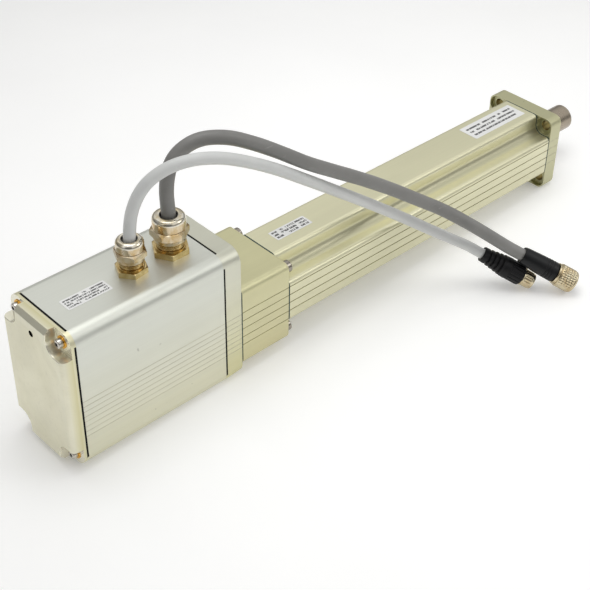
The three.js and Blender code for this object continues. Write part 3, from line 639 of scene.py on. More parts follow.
def cut(ob, cutters, operation="DIFFERENCE"):
    for cutter in cutters:
        mod = ob.modifiers.new("cut", "BOOLEAN")
        mod.object, mod.operation, mod.solver = cutter, operation, "EXACT"
        mod.material_mode = "TRANSFER"
    bpy.context.view_layer.update()
    graph = bpy.context.evaluated_depsgraph_get()
    mesh = bpy.data.meshes.new_from_object(ob.evaluated_get(graph))
    ob.modifiers.clear()
    old = ob.data
    ob.data = mesh
    bpy.data.meshes.remove(old)
    for cutter in cutters:
        data = cutter.data
        bpy.data.objects.remove(cutter)
        bpy.data.meshes.remove(data)


def fix_normals(ob):
    mesh = bmesh.new()
    mesh.from_mesh(ob.data)
    bmesh.ops.remove_doubles(mesh, verts=mesh.verts, dist=1e-7)
    bmesh.ops.recalc_face_normals(mesh, faces=mesh.faces)
    mesh.to_mesh(ob.data)
    mesh.free()


def finish(ob, slot, *nodes, body=BODY, angle=38, weighted=True, normals=True):
    """Smooth the piece, hang it on the empty of the body it rides on and hide the nodes it replaces.
    slot is not used.
    """
    if normals:
        fix_normals(ob)
    ob.data.shade_smooth()
    ob.data.set_sharp_from_angle(angle=math.radians(angle))
    if weighted:
        mod = ob.modifiers.new("wn", "WEIGHTED_NORMAL")
        mod.keep_sharp = True
        mod.weight = 90
    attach(ob, body)
    if nodes:
        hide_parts(*nodes)


def corner_pads(prefix, x0, x1, look, slot):
    """Four pads at the corners of the tall outline, between the ends of a gasket."""
    for i, (sy, sz) in enumerate(CORNERS):
        full = [p for p in tall()[0] if p[0] * sy >= 28.4 and (p[1] - MID) * sz >= 52.8]
        y, z = sy * 28.5, MID + sz * 52.75
        side, end = (HALF * sy, z), (y, MID + sz * HALF_TALL)
        if sy * sz > 0:
            ring = [(y, z), side] + full + [end]
        else:
            ring = [(y, z), end] + full + [side]
        finish(prism(f"{prefix}_pad_{i + 1}", ring, x0, x1, look), slot, angle=32)


# =================================================================================================
# Rear cover, its screws, washers and vent plug
# =================================================================================================
NOTCH_Y, SCREW_Y = 28.75, 26.9
CORNER_RISE = 53.2             # height of notches and screws above and below MID
VENT = (-0.8, 62.8)            # y, z

# x, inset at the sides, inset at top and bottom, corner radius
COVER_SECTIONS = [
    (0, 3.6, 3.6, 6.8), (0.12, 3.25, 3.4, 7.1), (0.45, 2.6, 3.06, 7.6), (1.0, 1.9, 2.5, 8.2),
    (1.8, 1.15, 1.7, 8.8), (2.7, 0.6, 0.8, 9.3), (3.3, 0.42, 0.2, 9.6), (3.6, 0.3, 0.03, 9.7),
    (3.9, 0.2, 0.0, 9.8), (5, 0, 0, 10), (11.1, 0, 0, 10), (11.3, 0.15, 0.15, 9.9)]
# x, inner corner radius
NOTCH_SECTIONS = [(-1, 11.3), (0, 10.4), (0.35, 10.1), (0.6, 10.0), (8.3, 10.0), (8.65, 9.85),
                  (8.8, 9.5)]
# y, z of the hollow that opens towards the motor
COVER_HOLLOW = [(-17, -38), (17, -38), (17, -26), (29, -26), (29, 54), (17, 54), (17, 66),
                (-17, 66), (-17, 54), (-29, 54), (-29, -26), (-17, -26)]

cover = loft("rear_cover_shell",
             [(x, rounded(HALF - side, LOW + end, HIGH - end, radius, 12)[0])
              for x, side, end, radius in COVER_SECTIONS], "cover")
cutters = []
for sy, sz in CORNERS:
    y, z = sy * NOTCH_Y, MID + sz * CORNER_RISE
    notch = [(x, corner_notch(y, z, sy, sz, radius)) for x, radius in NOTCH_SECTIONS]
    cutters.append(loft("cutter", notch, "pocket"))
cutters.append(drill(-1, 3.2, 2.6, "socket", *VENT, segments=32))
cut(cover, cutters)
cut(cover, [prism("cutter", COVER_HOLLOW, 4.5, 12, "cover")])
finish(cover, "cover_metal", "rear_cover", angle=32)
corner_pads("cover", 11.2, 12.88, "cover", "cover_metal")

# x, radius
WASHER = [(8.0, 2.2), (8.0, 4.75), (8.12, 4.95), (8.35, 5.0), (8.62, 4.95), (8.8, 4.75), (8.8, 2.2)]
COVER_SCREW = [(4.0, 0), (4.0, 2.9), (4.12, 3.25), (4.4, 3.52), (4.75, 3.6), (7.8, 3.6), (8.0, 3.5),
               (8.0, 2.0), (23.4, 2.0), (24, 1.4), (24, 0)]
VENT_SCREW = [(1.2, 0), (1.2, 2.1), (1.35, 2.45), (3.2, 2.5), (3.2, 0)]

for i, (sy, sz) in enumerate(CORNERS):
    y, z = sy * SCREW_Y, MID + sz * CORNER_RISE
    washer = lathe(f"cover_washer_ring_{i + 1}", WASHER, "washer", (0, y, z), segments=48,
                   closed=True)
    finish(washer, "brass", f"cover_washer_{i + 1}")
    screw = lathe(f"cover_screw_head_{i + 1}", COVER_SCREW, "steel socket", (0, y, z), segments=40)
    cut(screw, [hex_socket(3, 6.2, y, z, across=3.0, turn=10 + 17 * i)])
    finish(screw, "screw_steel", f"cover_screw_{i + 1}")

vent = lathe("vent_plug_screw", VENT_SCREW, "socket", (0, *VENT), segments=32)
cut(vent, [hex_socket(0.5, 2.5, *VENT, across=2.2, turn=0)])
finish(vent, "screw_steel", "vent_plug")

# =================================================================================================
# Gaskets, each pressed slightly into its neighbours
# =================================================================================================
CAVITY = notched(31, -41.5, 69, 11)
PRESS = 0.05
GASKET_INSET = 0.14

for name, x0, x1, node, seed in [
        ("rear_gasket_sheet", 11.25, MOTOR_X[0] + PRESS, "rear_gasket", 2),
        ("motor_gasket_sheet", MOTOR_X[1] - PRESS, ADAPTER_X[0] + PRESS, "motor_front_gasket", 5)]:
    edge = notched(HALF - GASKET_INSET, LOW + GASKET_INSET, HIGH - GASKET_INSET, 9.1)
    sheet = prism(name, wavy(edge, step=3.0, swing=0.10, seed=seed), x0, x1, "rubber")
    cut(sheet, [prism("cutter", CAVITY, x0 - 1, x1 + 1, "rubber")])
    finish(sheet, "gasket_rubber", node, weighted=False)


def square_sheet(name, node, x0, x1, outline, bore, holes=()):
    sheet = prism(name, outline, x0, x1, "green")
    cut(sheet, [drill(x0 - 1, x1 + 1, bore, "green", segments=64)]
        + [drill(x0 - 1, x1 + 1, 3.4, "green", y, z, segments=24) for y, z in holes])
    finish(sheet, "gasket_rubber", node, weighted=False)


square_sheet("adapter_gasket_sheet", "adapter_gasket", ADAPTER_X[1] - 0.06, HOUSING_X[0] + 0.06,
             wavy(square(SQUARE_RADIUS, 8)[0], step=2.4, swing=0.05, seed=3), bore=24,
             holes=[(sy * BOLT, sz * BOLT) for sy, sz in CORNERS])
square_sheet("tube_rear_gasket_sheet", "tube_rear_gasket", HOUSING_X[1] - PRESS,
             TUBE_X[0] + PRESS, tube_section(8)[0], bore=27)
square_sheet("tube_front_gasket_sheet", "tube_front_gasket", TUBE_X[1] - PRESS,
             FLANGE_X[0] + PRESS, tube_section(8)[0], bore=27)

# =================================================================================================
# Motor housing and adapter
# =================================================================================================
outline, tags = tall(grooves=FINE)
motor = bar("motor_housing_shell", outline, MOTOR_X, "motor fine_groove", tags, soft0=0.2, soft1=0.2)
cutters = [prism("cutter", CAVITY, 11, 133.5, "motor"), drill(133, 146, 16.1, "pocket")]
for (x, y), radius in ((SMALL_GLAND, 8.05), (LARGE_GLAND, 10.05)):
    cutters.append(lathe("cutter", [(60, 0), (60, radius), (80, radius), (80, 0)], "pocket",
                         (x, y, 0), axis="Z", segments=40))
cut(motor, cutters)
finish(motor, "housing_silver", "motor_housing", angle=32)

# the adapter's corners grow rounder towards +X, where its edge is rounded off
front, _ = tall(radius=12, grooves=FINE)
x0, x1 = ADAPTER_X
SOFT = 0.5
adapter = loft("adapter_plate_shell",
               [(x0, offset(outline, 0.2)), (x0 + 0.06, offset(outline, 0.06)), (x0 + 0.2, outline),
                (x1 - SOFT, front), (x1 - SOFT * 0.5, offset(front, SOFT * 0.134)),
                (x1 - SOFT * 0.134, offset(front, SOFT * 0.5)), (x1, offset(front, SOFT))],
               "adapter fine_groove", tags)
cut(adapter, [drill(145, 162, 19, "pocket")]
    + [drill(150, 162, 3.3, "hole", sy * BOLT, sz * BOLT, segments=24) for sy, sz in CORNERS])
finish(adapter, "housing_silver", "adapter_plate", angle=32)
corner_pads("adapter", 144.62, 146.3, "adapter", "housing_silver")

# =================================================================================================
# Coupling housing with its four screws
# =================================================================================================
outline, tags = square(SQUARE_RADIUS, 9, WIDE, width=0.7, depth=0.4)
housing = bar("coupling_housing_shell", outline, HOUSING_X, "housing groove", tags,
              soft0=0.3, soft1=0.35)
cut(housing, [drill(162, 184, 22.5, "pocket"), drill(183, 212, 21.1, "pocket")]
    + [drill(162, 212, 3.3, "hole", sy * BOLT, sz * BOLT, segments=24) for sy, sz in CORNERS])
finish(housing, "anodised_champagne", "coupling_housing", angle=32)

x = HOUSING_X[1]
HOUSING_SCREW = [(151, 0), (151, 3), (x, 3), (x, 5.1), (x + 0.15, 5.25), (x + 5.3, 5.25),
                 (x + 5.75, 5.05), (x + 6, 4.6), (x + 6, 0)]
for i, (sy, sz) in enumerate(CORNERS):
    y, z = sy * BOLT, sz * BOLT
    screw = lathe(f"housing_socket_screw_{i + 1}", HOUSING_SCREW, "screw socket", (0, y, z),
                  segments=48)
    cut(screw, [hex_socket(x + 2.6, x + 7, y, z, across=5, turn=15 + 13 * i)])
    finish(screw, "screw_steel", f"housing_screw_{i + 1}")

# =================================================================================================
# Cylinder tube
# =================================================================================================
outline, tags = tube_section(9, TUBE_GROOVES, width=0.85, depth=0.5)
tube = bar("cylinder_tube", outline, TUBE_X, "tube groove", tags, soft0=0.15, soft1=0.15, steps=2)
cut(tube, [drill(212, 546, 26, "pocket", segments=96)])
finish(tube, "anodised_champagne", "actuator_tube", angle=30)

# =================================================================================================
# Front flange, wiper, rod
# =================================================================================================
# x, radius
BOSS = [(559, 0), (559, 22.5), (572, 22.5), (572.7, 22.2), (573, 21.5), (573, 0)]
FLANGE_BAY = [(540, 0), (540, 14), (545.9, 8.9), (546.5, 8.35), (549.2, 8.25), (549.85, 7.9),
              (550, 7.2), (550, 0)]
FLANGE_HOLE = [(549, 0), (549, 5.6), (550.0, 4.85), (550.6, 4.25), (560.2, 4.25), (562, 6.0),
               (562, 0)]
WIPER = [(562.3, 12.95), (562.3, 15.9), (573.3, 15.95), (574.1, 15.5), (574.8, 14.4),
         (574.9, 13.4), (574.5, 12.85), (573.4, 12.75), (572.2, 12.95)]
ROD = [(262, 8.7), (262, 12.3), (262.3, 12.5), (616.4, 12.5), (616.75, 12.42), (617.0, 12.2),
       (617.75, 11.3), (617.95, 11.05), (618, 10.8), (618, 8.9), (617.9, 8.6), (616.9, 7.4)]
THREAD_TURNS, THREAD_PITCH = 14, 2   # inside the rod's end

outline, tags = square(7, 12, TUBE_GROOVES, width=0.6, depth=0.2)
flange = bar("front_flange_plate", outline, FLANGE_X, "flange fine_groove", tags,
             soft0=0.4, soft1=0.6, steps=4)
cut(flange, [lathe("cutter", BOSS, "flange", segments=96)], "UNION")
cutters = [drill(545, 574, 14, "hole", segments=64),
           drill(547, 574, 16.1, "hole", segments=64, flare=0.6)]
for sy, sz in CORNERS:
    at = (0, sy * BAY, sz * BAY)
    cutters.append(lathe("cutter", FLANGE_BAY, "flange", at, segments=72))
    cutters.append(lathe("cutter", FLANGE_HOLE, "hole", at, segments=48))
cut(flange, cutters)
finish(flange, "anodised_champagne", "front_flange", angle=35)

finish(lathe("rod_wiper_lip", WIPER, "seal", segments=72, closed=True), "wiper_rubber", "rod_wiper")

profile = list(ROD)
for k in range(THREAD_TURNS):
    crest = 616.9 - THREAD_PITCH * k
    profile += [(crest - 0.9, 8.0), (crest - 1.1, 8.0), (crest - 2.0, 7.1)]
profile += [(588, 7.0), (584, 0)]
rod = lathe("push_rod", profile, "rod rod_end socket", segments=96,
            index=[0] * 5 + [1] * 6 + [2] * (len(profile) - len(ROD)))
finish(rod, "rod_steel", "rod", body="rod_assembly", angle=40, normals=False)


# =================================================================================================
# Cable glands
# =================================================================================================
def gland(prefix, centre, across, base, nut, flats, top, radius, cable, base_turn, nut_turn):
    """Heights above the motor housing: top of the base, underside of the nut, ends of its flats,
    top of the dome. across is the hexagons' width over flats, radius the dome's, cable the cable's."""
    at = (*centre, HIGH)
    neck = across / 2 - 2.2
    vertex = across / math.sqrt(3)
    flat0, flat1 = flats

    def turn_down(hexagonal, profile, look):
        cut(hexagonal, [lathe("cutter", profile, look, at, axis="Z", segments=96)], "INTERSECT")

    # base hexagon with its upper corners turned off
    ob = hex_z(f"{prefix}_gland_base", at, across, base_turn, 0, base, "gland_base")
    turn_down(ob, [(-1, 0), (-1, vertex + 2), (base - 1.0, vertex + 0.3), (base - 0.3, vertex - 0.8),
                   (base, across / 2 - 0.4), (base + 0.01, 0)], "gland_base")
    finish(ob, "nickel", f"{prefix}_gland_body", angle=30)

    # threaded neck standing on a small shoulder
    profile = [(-8, 0), (-8, neck - 0.9), (base - 0.6, neck - 0.9), (base - 0.4, neck + 1.0),
               (base + 0.7, neck + 1.0), (base + 0.9, neck + 0.7)]
    z = base + 1.0
    while z < nut + 0.8:
        profile += [(z, neck - 0.5), (z + 0.2, neck - 0.5), (z + 0.62, neck + 0.05),
                    (z + 0.82, neck + 0.05), (z + 1.15, neck - 0.45)]
        z += 1.25
    profile += [(z, neck - 0.6), (flat1 - 1, neck - 0.6), (flat1 - 1, 0)]
    finish(lathe(f"{prefix}_gland_thread", profile, "thread", at, axis="Z", segments=72),
           "nickel", angle=50)

    # nut: hexagon with both ends chamfered
    ob = hex_z(f"{prefix}_gland_nut_hex", at, across, nut_turn, flat0, flat1, "gland")
    turn_down(ob, [(flat0 - 0.01, 0), (flat0, across / 2 - 0.45), (flat0 + 1.5, vertex + 0.1),
                   (flat1 - 1.6, vertex + 0.1), (flat1, across / 2 - 0.5), (flat1 + 0.01, 0)],
              "gland")
    cut(ob, [lathe("cutter", [(flat0 - 1, 0), (flat0 - 1, radius - 1.2), (flat1 + 1, radius - 1.2),
                              (flat1 + 1, 0)], "gland", at, axis="Z")])
    finish(ob, "nickel", f"{prefix}_gland_nut", angle=28)

    # turned part of the nut: collar below the flats, polished dome above them
    inner = cable + 1.2
    fillet = 3.6
    shoulder = top - fillet - 0.6
    profile = [(nut + 0.3, neck + 0.15), (nut, neck + 0.5), (nut, radius - 1.2),
               (nut + 0.15, radius - 0.8), (nut + 0.6, radius - 0.45),
               (flat0 - 0.5, radius - 0.35), (flat0 - 0.2, radius - 0.7),
               (flat1 + 0.1, radius - 0.7), (flat1 + 0.35, radius - 0.12), (flat1 + 0.9, radius),
               (shoulder, radius)]
    for k in range(1, 13):
        angle = math.radians(90 * k / 12 * 0.9)
        profile.append((shoulder + (fillet + 0.1) * math.sin(angle),
                        radius - fillet + fillet * math.cos(angle)))
    rim = profile[-1][1]
    profile += [(top - 0.15, max(inner + 1.6, rim - 1.2)), (top - 0.2, inner + 1.0),
                (top - 0.45, inner + 0.35), (top - 0.9, inner + 0.05), (top - 1.6, inner),
                (flat1 + 1.2, inner), (flat1 - 0.6, neck + 0.15)]
    index = [0] * 10 + [1] * 12 + [2, 2, 1, 1, 2, 2, 2, 2]
    finish(lathe(f"{prefix}_gland_dome", profile, "gland dome gland_top", at, axis="Z",
                 segments=96, index=index, closed=True), "nickel", angle=35)

    profile = [(flat1 + 1.4, cable + 0.15), (flat1 + 1.4, inner - 0.05), (top - 1.5, inner - 0.05),
               (top - 1.3, inner - 0.5), (top - 1.9, cable + 0.5), (top - 2.6, cable + 0.15)]
    finish(lathe(f"{prefix}_gland_seal_ring", profile, "seal", at, axis="Z", closed=True),
           "wiper_rubber", f"{prefix}_gland_seal", angle=40)


gland("small", SMALL_GLAND, across=22, base=4.8, nut=10.3, flats=(13.6, 19.6), top=29.2,
      radius=10.6, cable=SIGNAL_RADIUS, base_turn=7, nut_turn=7)
gland("large", LARGE_GLAND, across=26, base=5.3, nut=11.6, flats=(15.2, 22.3), top=33.2,
      radius=12.8, cable=POWER_RADIUS, base_turn=0, nut_turn=30)


# =================================================================================================
# Cables
# =================================================================================================
def spline(points, steps=14, smoothing=14):
    """Centripetal Catmull-Rom through the points, then smoothed lightly with its ends held."""
    def between(start, end, t_start, t_end, t):
        width = t_end - t_start
        return (t_end - t) / width * start + (t - t_start) / width * end

    points = [np.array(p, float) for p in points]
    points = [2 * points[0] - points[1]] + points + [2 * points[-1] - points[-2]]
    out = []
    for i in range(1, len(points) - 2):
        near = points[i - 1:i + 3]
        knots = [0.0]
        for start, end in zip(near, near[1:]):
            knots.append(knots[-1] + np.linalg.norm(end - start) ** 0.5)
        for k in range(steps):
            t = knots[1] + (knots[2] - knots[1]) * k / steps
            level = near
            for reach in (1, 2):
                level = [between(level[j], level[j + 1], knots[j], knots[j + reach], t)
                         for j in range(len(level) - 1)]
            out.append(between(level[0], level[1], knots[1], knots[2], t))
    out.append(points[-2])
    path = np.array(out)
    for _ in range(smoothing):
        path[2:-2] = path[2:-2] * 0.5 + (path[1:-3] + path[3:-1]) * 0.25
    return path


def sweep(name, path, radius, look, segments=28, ripple=0.0036):
    """A round cable along the path, its radius rippling slightly along and around it."""
    tangents = np.gradient(path, axis=0)
    tangents /= np.linalg.norm(tangents, axis=1)[:, None]
    normal = np.cross(tangents[0], (0, 1, 0))
    normal /= np.linalg.norm(normal)
    rand = random.Random(3)
    along_phase, round_phase, _ = (rand.uniform(0, 6.28) for _ in range(3))
    verts = []
    length = 0.0
    for i, (point, tangent) in enumerate(zip(path, tangents)):
        if i:
            length += np.linalg.norm(point - path[i - 1])
            normal = normal - tangent * (normal @ tangent)
            normal /= np.linalg.norm(normal)
        side = np.cross(tangent, normal)
        for k in range(segments):
            angle = 2 * math.pi * k / segments
            wave = (math.sin(length * 0.21 + along_phase)
                    + math.sin(2 * angle + length * 0.05 + round_phase))
            reach = radius * (1 + ripple * wave)
            verts.append(tuple(point + (normal * math.cos(angle) + side * math.sin(angle)) * reach))
    return make_object(name, verts, ring_faces(len(path), segments), look)


# x, y, z along each cable's centre line, from its gland to its plug
SIGNAL_PATH = [
    (87, -2.3, 78), (87, -2.3, 92), (87.2, -2.4, 103.5), (90.9, -2.9, 126.1), (100.8, -5.8, 144.3),
    (116, -12.1, 155.2), (133.7, -19.8, 158.9), (154.6, -25.2, 154.3), (177.4, -28.9, 143.2),
    (202, -31.1, 127.9), (227.8, -32.8, 109.4), (254.7, -34.5, 89.7), (282, -37.3, 69.6),
    (308.7, -42, 49.9), (333.9, -49.3, 31.1), (356.4, -59.7, 14.2), (367.8, -67.2, 6.2),
    (382.1, -80.5, -3.5), (387, -86.9, -7.7), (392.9, -94.6, -12.8)]
POWER_PATH = [
    (123.4, -1.8, 78), (123.4, -1.8, 92), (123.6, -1.7, 107), (124.7, 0.5, 130.9),
    (133, 1.4, 150.7), (149.9, -3.9, 161.1), (169.3, -12.7, 160.1), (190.1, -19.9, 150),
    (211.7, -26.3, 135.9), (234.3, -32, 119.8), (259.4, -37.5, 104.3), (285.3, -43.4, 88.6),
    (310.8, -50.6, 72), (335.2, -59.4, 55), (358.5, -70, 38.7), (381.0, -88.0, 19.9),
    (403.1, -107.5, -0.5), (408.2, -113.7, -4.7), (414.3, -121.2, -9.8)]
for name, path, radius, look, slot in (
        ("signal_cable", SIGNAL_PATH, SIGNAL_RADIUS, "light", "cable_light"),
        ("power_cable", POWER_PATH, POWER_RADIUS, "dark", "cable_dark")):
    cable = sweep(f"{name}_sheath", spline(path), radius, look)
    finish(cable, slot, name, angle=60, weighted=False)


# =================================================================================================
# Plugs: made along +X, then turned to the way each one points
# =================================================================================================
def place(ob, at, way):
    """Turn a piece made along +X to point along way, with its origin at the point at."""
    turn = Vector((1, 0, 0)).rotation_difference(Vector(way).normalized()).to_matrix().to_4x4()
    ob.data.transform(Matrix.Translation(Vector(at) * METRES_PER_MM) @ turn)
    return ob


def fluted(name, profile, flutes, depth, look, steps, power, bore=0.0):
    """A body of revolution with flutes. profile: [(distance, radius, flute amount)];
    steps: segments in each flute; power: how flat the ridges are."""
    rings = list(profile)
    if bore:
        rings = [(profile[0][0], bore, 0)] + rings + [(profile[-1][0], bore, 0)]

    def radius_at(h, radius, amount, angle):
        return radius - depth * amount * (1 - abs(math.sin(angle * flutes / 2)) ** power)

    return turned(name, rings, flutes * steps, radius_at, look, closed=bool(bore))


SIGNAL_PLUG = ((389.68, -90.42, -10), (0.538, -0.7048, -0.4624))     # origin, direction
POWER_PLUG = ((410.97, -117.1, -7), (0.5584, -0.6888, -0.4623))

# distance, radius
BOOT_START = [(6.6, 0), (6.6, 5.0), (0.8, 5.1), (0.1, 5.4), (0.0, 5.9), (0.1, 6.5), (0.5, 6.8),
              (4.6, 6.95)]
BOOT_RIB = [(-0.2, -0.5), (0, -1.5), (1.2, -1.6), (1.45, -0.4), (1.75, -0.02), (2.3, 0.12),
            (3.4, 0.12), (3.75, -0.05)]   # from the rib's own start and radius
BOOT_END = [(21.9, 9.35), (22.6, 9.45), (27.0, 9.6), (27.4, 9.45), (27.6, 8.9), (27.6, 0)]
INSERT = [(40, 0), (40, 5.4), (49.2, 5.4), (49.5, 5.1), (49.5, 0)]
POWER_SHELL = [
    (7.4, 0), (7.4, 5.9), (0.9, 6.0), (0.1, 6.3), (0, 6.7), (0.2, 7.2), (0.9, 7.55), (4, 7.9),
    (10, 8.2), (16, 8.5), (22.0, 8.75), (22.5, 8.4), (23.0, 8.4), (23.5, 8.85), (24.8, 8.9),
    (25.3, 8.45), (25.8, 8.45), (26.3, 8.92), (27.6, 8.94), (28.1, 8.5), (28.6, 8.5), (29.1, 8.95),
    (32.5, 8.95), (33.1, 8.8), (33.4, 8.4), (33.4, 7.2), (49.6, 7.2), (50, 6.9), (50, 0)]
# distance, radius, flute amount
GRIP = [(27.4, 8.9, 0), (27.7, 9.35, 0.3), (28.6, 9.5, 1), (38.6, 9.45, 1), (39.8, 9.2, 0.8),
        (40.4, 8.7, 0.3), (40.6, 8.0, 0)]
COUPLING_NUT = [
    (41.0, 7.1, 0), (41.1, 7.7, 0), (41.6, 8.0, 0), (42.2, 8.0, 0), (42.5, 7.7, 0.4),
    (43.0, 7.75, 1), (48.6, 7.75, 1), (49.3, 7.6, 0.5), (49.8, 7.3, 0), (51.0, 7.2, 0),
    (51.6, 6.95, 0), (51.9, 6.5, 0)]

profile = list(BOOT_START)
for i in range(4):
    start, radius = 5.2 + i * 4.15, 7.35 + i * 0.6
    profile += [(start + dx, radius + dr) for dx, dr in BOOT_RIB]
profile += BOOT_END
finish(place(lathe("signal_plug_boot", profile, "boot"), *SIGNAL_PLUG), "plug_black",
       "signal_plug_body", angle=40)
grip = fluted("signal_plug_grip", GRIP, flutes=16, depth=0.8, look="plug", steps=8, power=0.6)
finish(place(grip, *SIGNAL_PLUG), "plug_black", angle=40)
insert = lathe("signal_plug_insert", INSERT, "plug_metal plug", segments=48, index=[0, 0, 0, 1])
finish(place(insert, *SIGNAL_PLUG), "nickel", angle=40)
nut = fluted("signal_plug_coupling_nut", COUPLING_NUT, flutes=10, depth=0.6, look="plug_metal",
             steps=12, power=0.45, bore=5.95)
finish(place(nut, *SIGNAL_PLUG), "nickel", "signal_plug_nut", body="signal_nut", angle=30)

finish(place(lathe("power_plug_shell", POWER_SHELL, "plug", segments=72), *POWER_PLUG),
       "plug_black", "power_plug_body", angle=35)


def knurled(name, look, start=37.2, end=50.6, rows=48):
    """The coupling ring: a thin plain collar, a dotted grip and a rounded end."""
    rings = [(34, 7.7, 0), (34, 8.9, 0), (34.15, 9.3, 0), (34.5, 9.5, 0), (35.6, 9.55, 0),
             (36.0, 9.3, 0), (36.5, 9.4, 0), (36.8, 10.0, 0)]
    rings += [(start + (end - start) * k / rows, 10.3, 1) for k in range(rows + 1)]
    rings += [(50.9, 10.15, 0), (51.5, 10.1, 0), (52.2, 9.85, 0), (52.8, 9.4, 0), (53.2, 8.8, 0),
              (53.4, 8.1, 0), (53.4, 7.7, 0)]

    def radius_at(h, radius, amount, angle):
        if not amount:
            return radius
        around = abs(math.sin(angle * 12)) ** 0.5
        along = abs(math.sin((h - start) / (end - start) * math.pi * 5)) ** 0.5
        return radius - 0.3 + 0.5 * around * along

    return turned(name, rings, 120, radius_at, look, closed=True)


finish(place(knurled("power_plug_coupling_ring", "plug_metal"), *POWER_PLUG), "nickel",
       "power_plug_ring", body="power_ring", angle=35, weighted=False)


# =================================================================================================
# Labels
# =================================================================================================
def label(name, node, box, z, look):
    """A thin foil with rounded corners lying on the face at height z."""
    points = sum(corner_arcs(*box, 1.2, 6), [])
    count = len(points)
    verts = [(x, y, z + height)
             for ring, height in ((points, 0.005), (points, 0.11), (offset(points, 0.12), 0.15))
             for x, y in ring]
    faces = ring_faces(3, count)
    faces.insert(0, faces.pop(-2))   # the underside comes first
    foil = make_object(name, verts, faces, f"backing {look}", [0] * (1 + 2 * count) + [1])
    finish(foil, "label_white", node, angle=20, weighted=False)


label("motor_label_foil", "motor_label", LABELS["motor"], HIGH, "label_motor")
label("tube_label_rear_foil", "tube_label_rear", LABELS["rear"], HALF, "label_rear")
label("tube_label_front_foil", "tube_label_front", LABELS["front"], HALF, "label_front")

# =================================================================================================
# Pieces inside keep their CAD shape, with their own finishes
# =================================================================================================
INSIDE = {
    "rod_bush": "bronze", "nut_carrier": "inner", "ball_nut": "dark_steel", "guide_ring": "guide",
    "ball_screw": "inner", "thrust_bearing_outer": "inner", "thrust_bearing_inner": "inner",
    "coupling_hub_screw": "dark_steel", "coupling_spider": "spider",
    "coupling_hub_motor": "dark_steel", "motor_shaft": "inner", "rotor_magnets": "dark_steel",
    "stator": "copper", "motor_bearing_rear": "inner", "motor_bearing_front": "inner",
    "motor_end_shield": "adapter", "encoder_disc": "disc", "drive_board": "board"}
for name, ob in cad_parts.items():
    if ob.hide_render:
        continue
    ob.data.materials.clear()
    ob.data.materials.append(MAT[INSIDE[name]])

# =================================================================================================
# Floor, rising gently towards +X. Metres from here on.
# =================================================================================================
FLOOR_HALF = 12.0
FLOOR_SLOPE = 0.0268
FLOOR_AT = (0.1615, 0, -0.0482)


def floor_paper():
    """White paper with painted light: it glows faintly around the object, washing out the object's
    shadow on it.
    """
    g = Graph("floor_paper")
    colour = g.blend(rgb("#f3f3f2"), rgb("#f6f6f5"), g.noise(6), (0.3, 0.7))
    dx, dy = g.math("SUBTRACT", g.axis(0), 0.20), g.plus(g.axis(1), 0.10)
    reach = g.math("SQRT", g.plus(g.times(dx, dx), g.times(dy, dy)))
    # painted light: emission, strongest near the object, fills in its shadow on the floor
    return g.finish(Base_Color=colour, Roughness=0.9, Specular_IOR_Level=0.1,
                    Emission_Color=rgb("#fdfdff"),
                    Emission_Strength=g.span(reach, (0.25, 0.80), (0.21, 0.0)))


floor = make_object("floor", [(sx * FLOOR_HALF, sy * FLOOR_HALF, 0)
                              for sx, sy in ((-1, -1), (1, -1), (1, 1), (-1, 1))],
                    [(0, 1, 2, 3)], "", scale=1.0)
floor.data.materials.append(floor_paper())
floor.matrix_world = (Matrix.Translation(FLOOR_AT)
                      @ Matrix.Rotation(-math.atan(FLOOR_SLOPE), 4, "Y"))

# =================================================================================================
# World: brighter towards the zenith, with two dark screens
# =================================================================================================
# height of the view direction, grey
SKY = ((0.20, 0.30), (0.36, 0.52), (0.50, 0.80), (0.70, 0.95))
# direction, cosines where the screen fades in, brightness outside and inside it
SCREENS = (((-0.59, 0.59, 0.55), (0.86, 0.95), (1.0, 0.42)),    # to the camera's left
           ((-0.62, -0.62, 0.48), (0.84, 0.94), (1.0, 0.30)))   # behind the camera

world = bpy.data.worlds.new("studio")
SCENE.world = world
world.use_nodes = True
tree = world.node_tree
tree.nodes.clear()
output = tree.nodes.new("ShaderNodeOutputWorld")
background = tree.nodes.new("ShaderNodeBackground")
coords = tree.nodes.new("ShaderNodeTexCoord")
separate = tree.nodes.new("ShaderNodeSeparateXYZ")
sky = tree.nodes.new("ShaderNodeValToRGB")
tree.links.new(coords.outputs["Generated"], separate.inputs[0])
tree.links.new(separate.outputs[2], sky.inputs[0])
stops = sky.color_ramp.elements
stops[0].position, stops[0].color = 0.0, (0.30, 0.30, 0.29, 1)
stops[1].position, stops[1].color = 1.0, (1.0, 1.0, 1.0, 1)
for position, grey in SKY:
    stop = stops.new(position)
    stop.color = (grey, grey, grey * 0.995, 1)

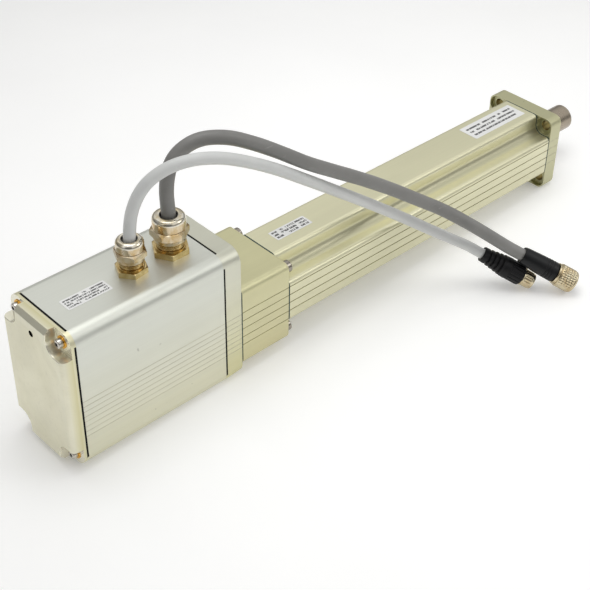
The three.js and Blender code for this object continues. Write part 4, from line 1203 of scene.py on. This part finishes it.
both = tree.nodes.new("ShaderNodeMath")
both.operation = "MULTIPLY"
for i, (direction, cosines, brightness) in enumerate(SCREENS):
    dot = tree.nodes.new("ShaderNodeVectorMath")
    dot.operation = "DOT_PRODUCT"
    tree.links.new(coords.outputs["Generated"], dot.inputs[0])
    dot.inputs[1].default_value = direction
    fade = tree.nodes.new("ShaderNodeMapRange")
    fade.interpolation_type = "SMOOTHSTEP"
    for k, value in enumerate((*cosines, *brightness)):
        fade.inputs[k + 1].default_value = value
    tree.links.new(dot.outputs["Value"], fade.inputs[0])
    tree.links.new(fade.outputs[0], both.inputs[i])
dimmed = tree.nodes.new("ShaderNodeVectorMath")
dimmed.operation = "SCALE"
tree.links.new(sky.outputs[0], dimmed.inputs[0])
tree.links.new(both.outputs[0], dimmed.inputs["Scale"])
tree.links.new(dimmed.outputs[0], background.inputs[0])
background.inputs[1].default_value = 0.92
tree.links.new(background.outputs[0], output.inputs[0])


# =================================================================================================
# Lights and camera
# =================================================================================================
def area(name, at, target, size, power, colour=(1, 1, 1)):
    light = bpy.data.lights.new(name, "AREA")
    light.shape = "RECTANGLE"
    light.size, light.size_y = size
    light.energy, light.color = power, colour
    ob = bpy.data.objects.new(name, light)
    SCENE.collection.objects.link(ob)
    ob.location = at
    ob.rotation_euler = (Vector(target) - Vector(at)).to_track_quat("-Z", "Y").to_euler()


area("top_box", at=(0.3, 0.2, 2.2), target=(0.25, 0, 0), size=(1.4, 1.2), power=11)
area("front_box", at=(1.35, -1.25, 1.25), target=(0.2, 0, 0), size=(0.8, 0.8), power=3.6,
     colour=(1, 0.995, 0.98))

CAMERA_AT = (-0.331672, -0.622641, 0.634865)
AZIMUTH, ELEVATION, ROLL = (math.radians(a) for a in (-44.9676, 36.3602, 1.8101))

lens = bpy.data.cameras.new("camera")
camera = bpy.data.objects.new("camera", lens)
SCENE.collection.objects.link(camera)
back = Vector((math.sin(AZIMUTH) * math.cos(ELEVATION), -math.cos(AZIMUTH) * math.cos(ELEVATION),
               math.sin(ELEVATION)))
right = (-back).cross(Vector((0, 0, 1))).normalized()
up = right.cross(-back)
rolled_right = math.cos(ROLL) * right + math.sin(ROLL) * up
rolled_up = -math.sin(ROLL) * right + math.cos(ROLL) * up
pose = Matrix.Identity(4)
for i in range(3):
    pose[i][0], pose[i][1], pose[i][2] = rolled_right[i], rolled_up[i], back[i]
pose.translation = Vector(CAMERA_AT)
camera.matrix_world = pose
lens.sensor_width = 36
lens.lens = 77.180888
lens.shift_x, lens.shift_y = -0.05414746, -0.06631017
lens.clip_start, lens.clip_end = 0.01, 60
SCENE.camera = camera
SCENE.view_settings.view_transform = "Standard"
SCENE.view_settings.look = "None"
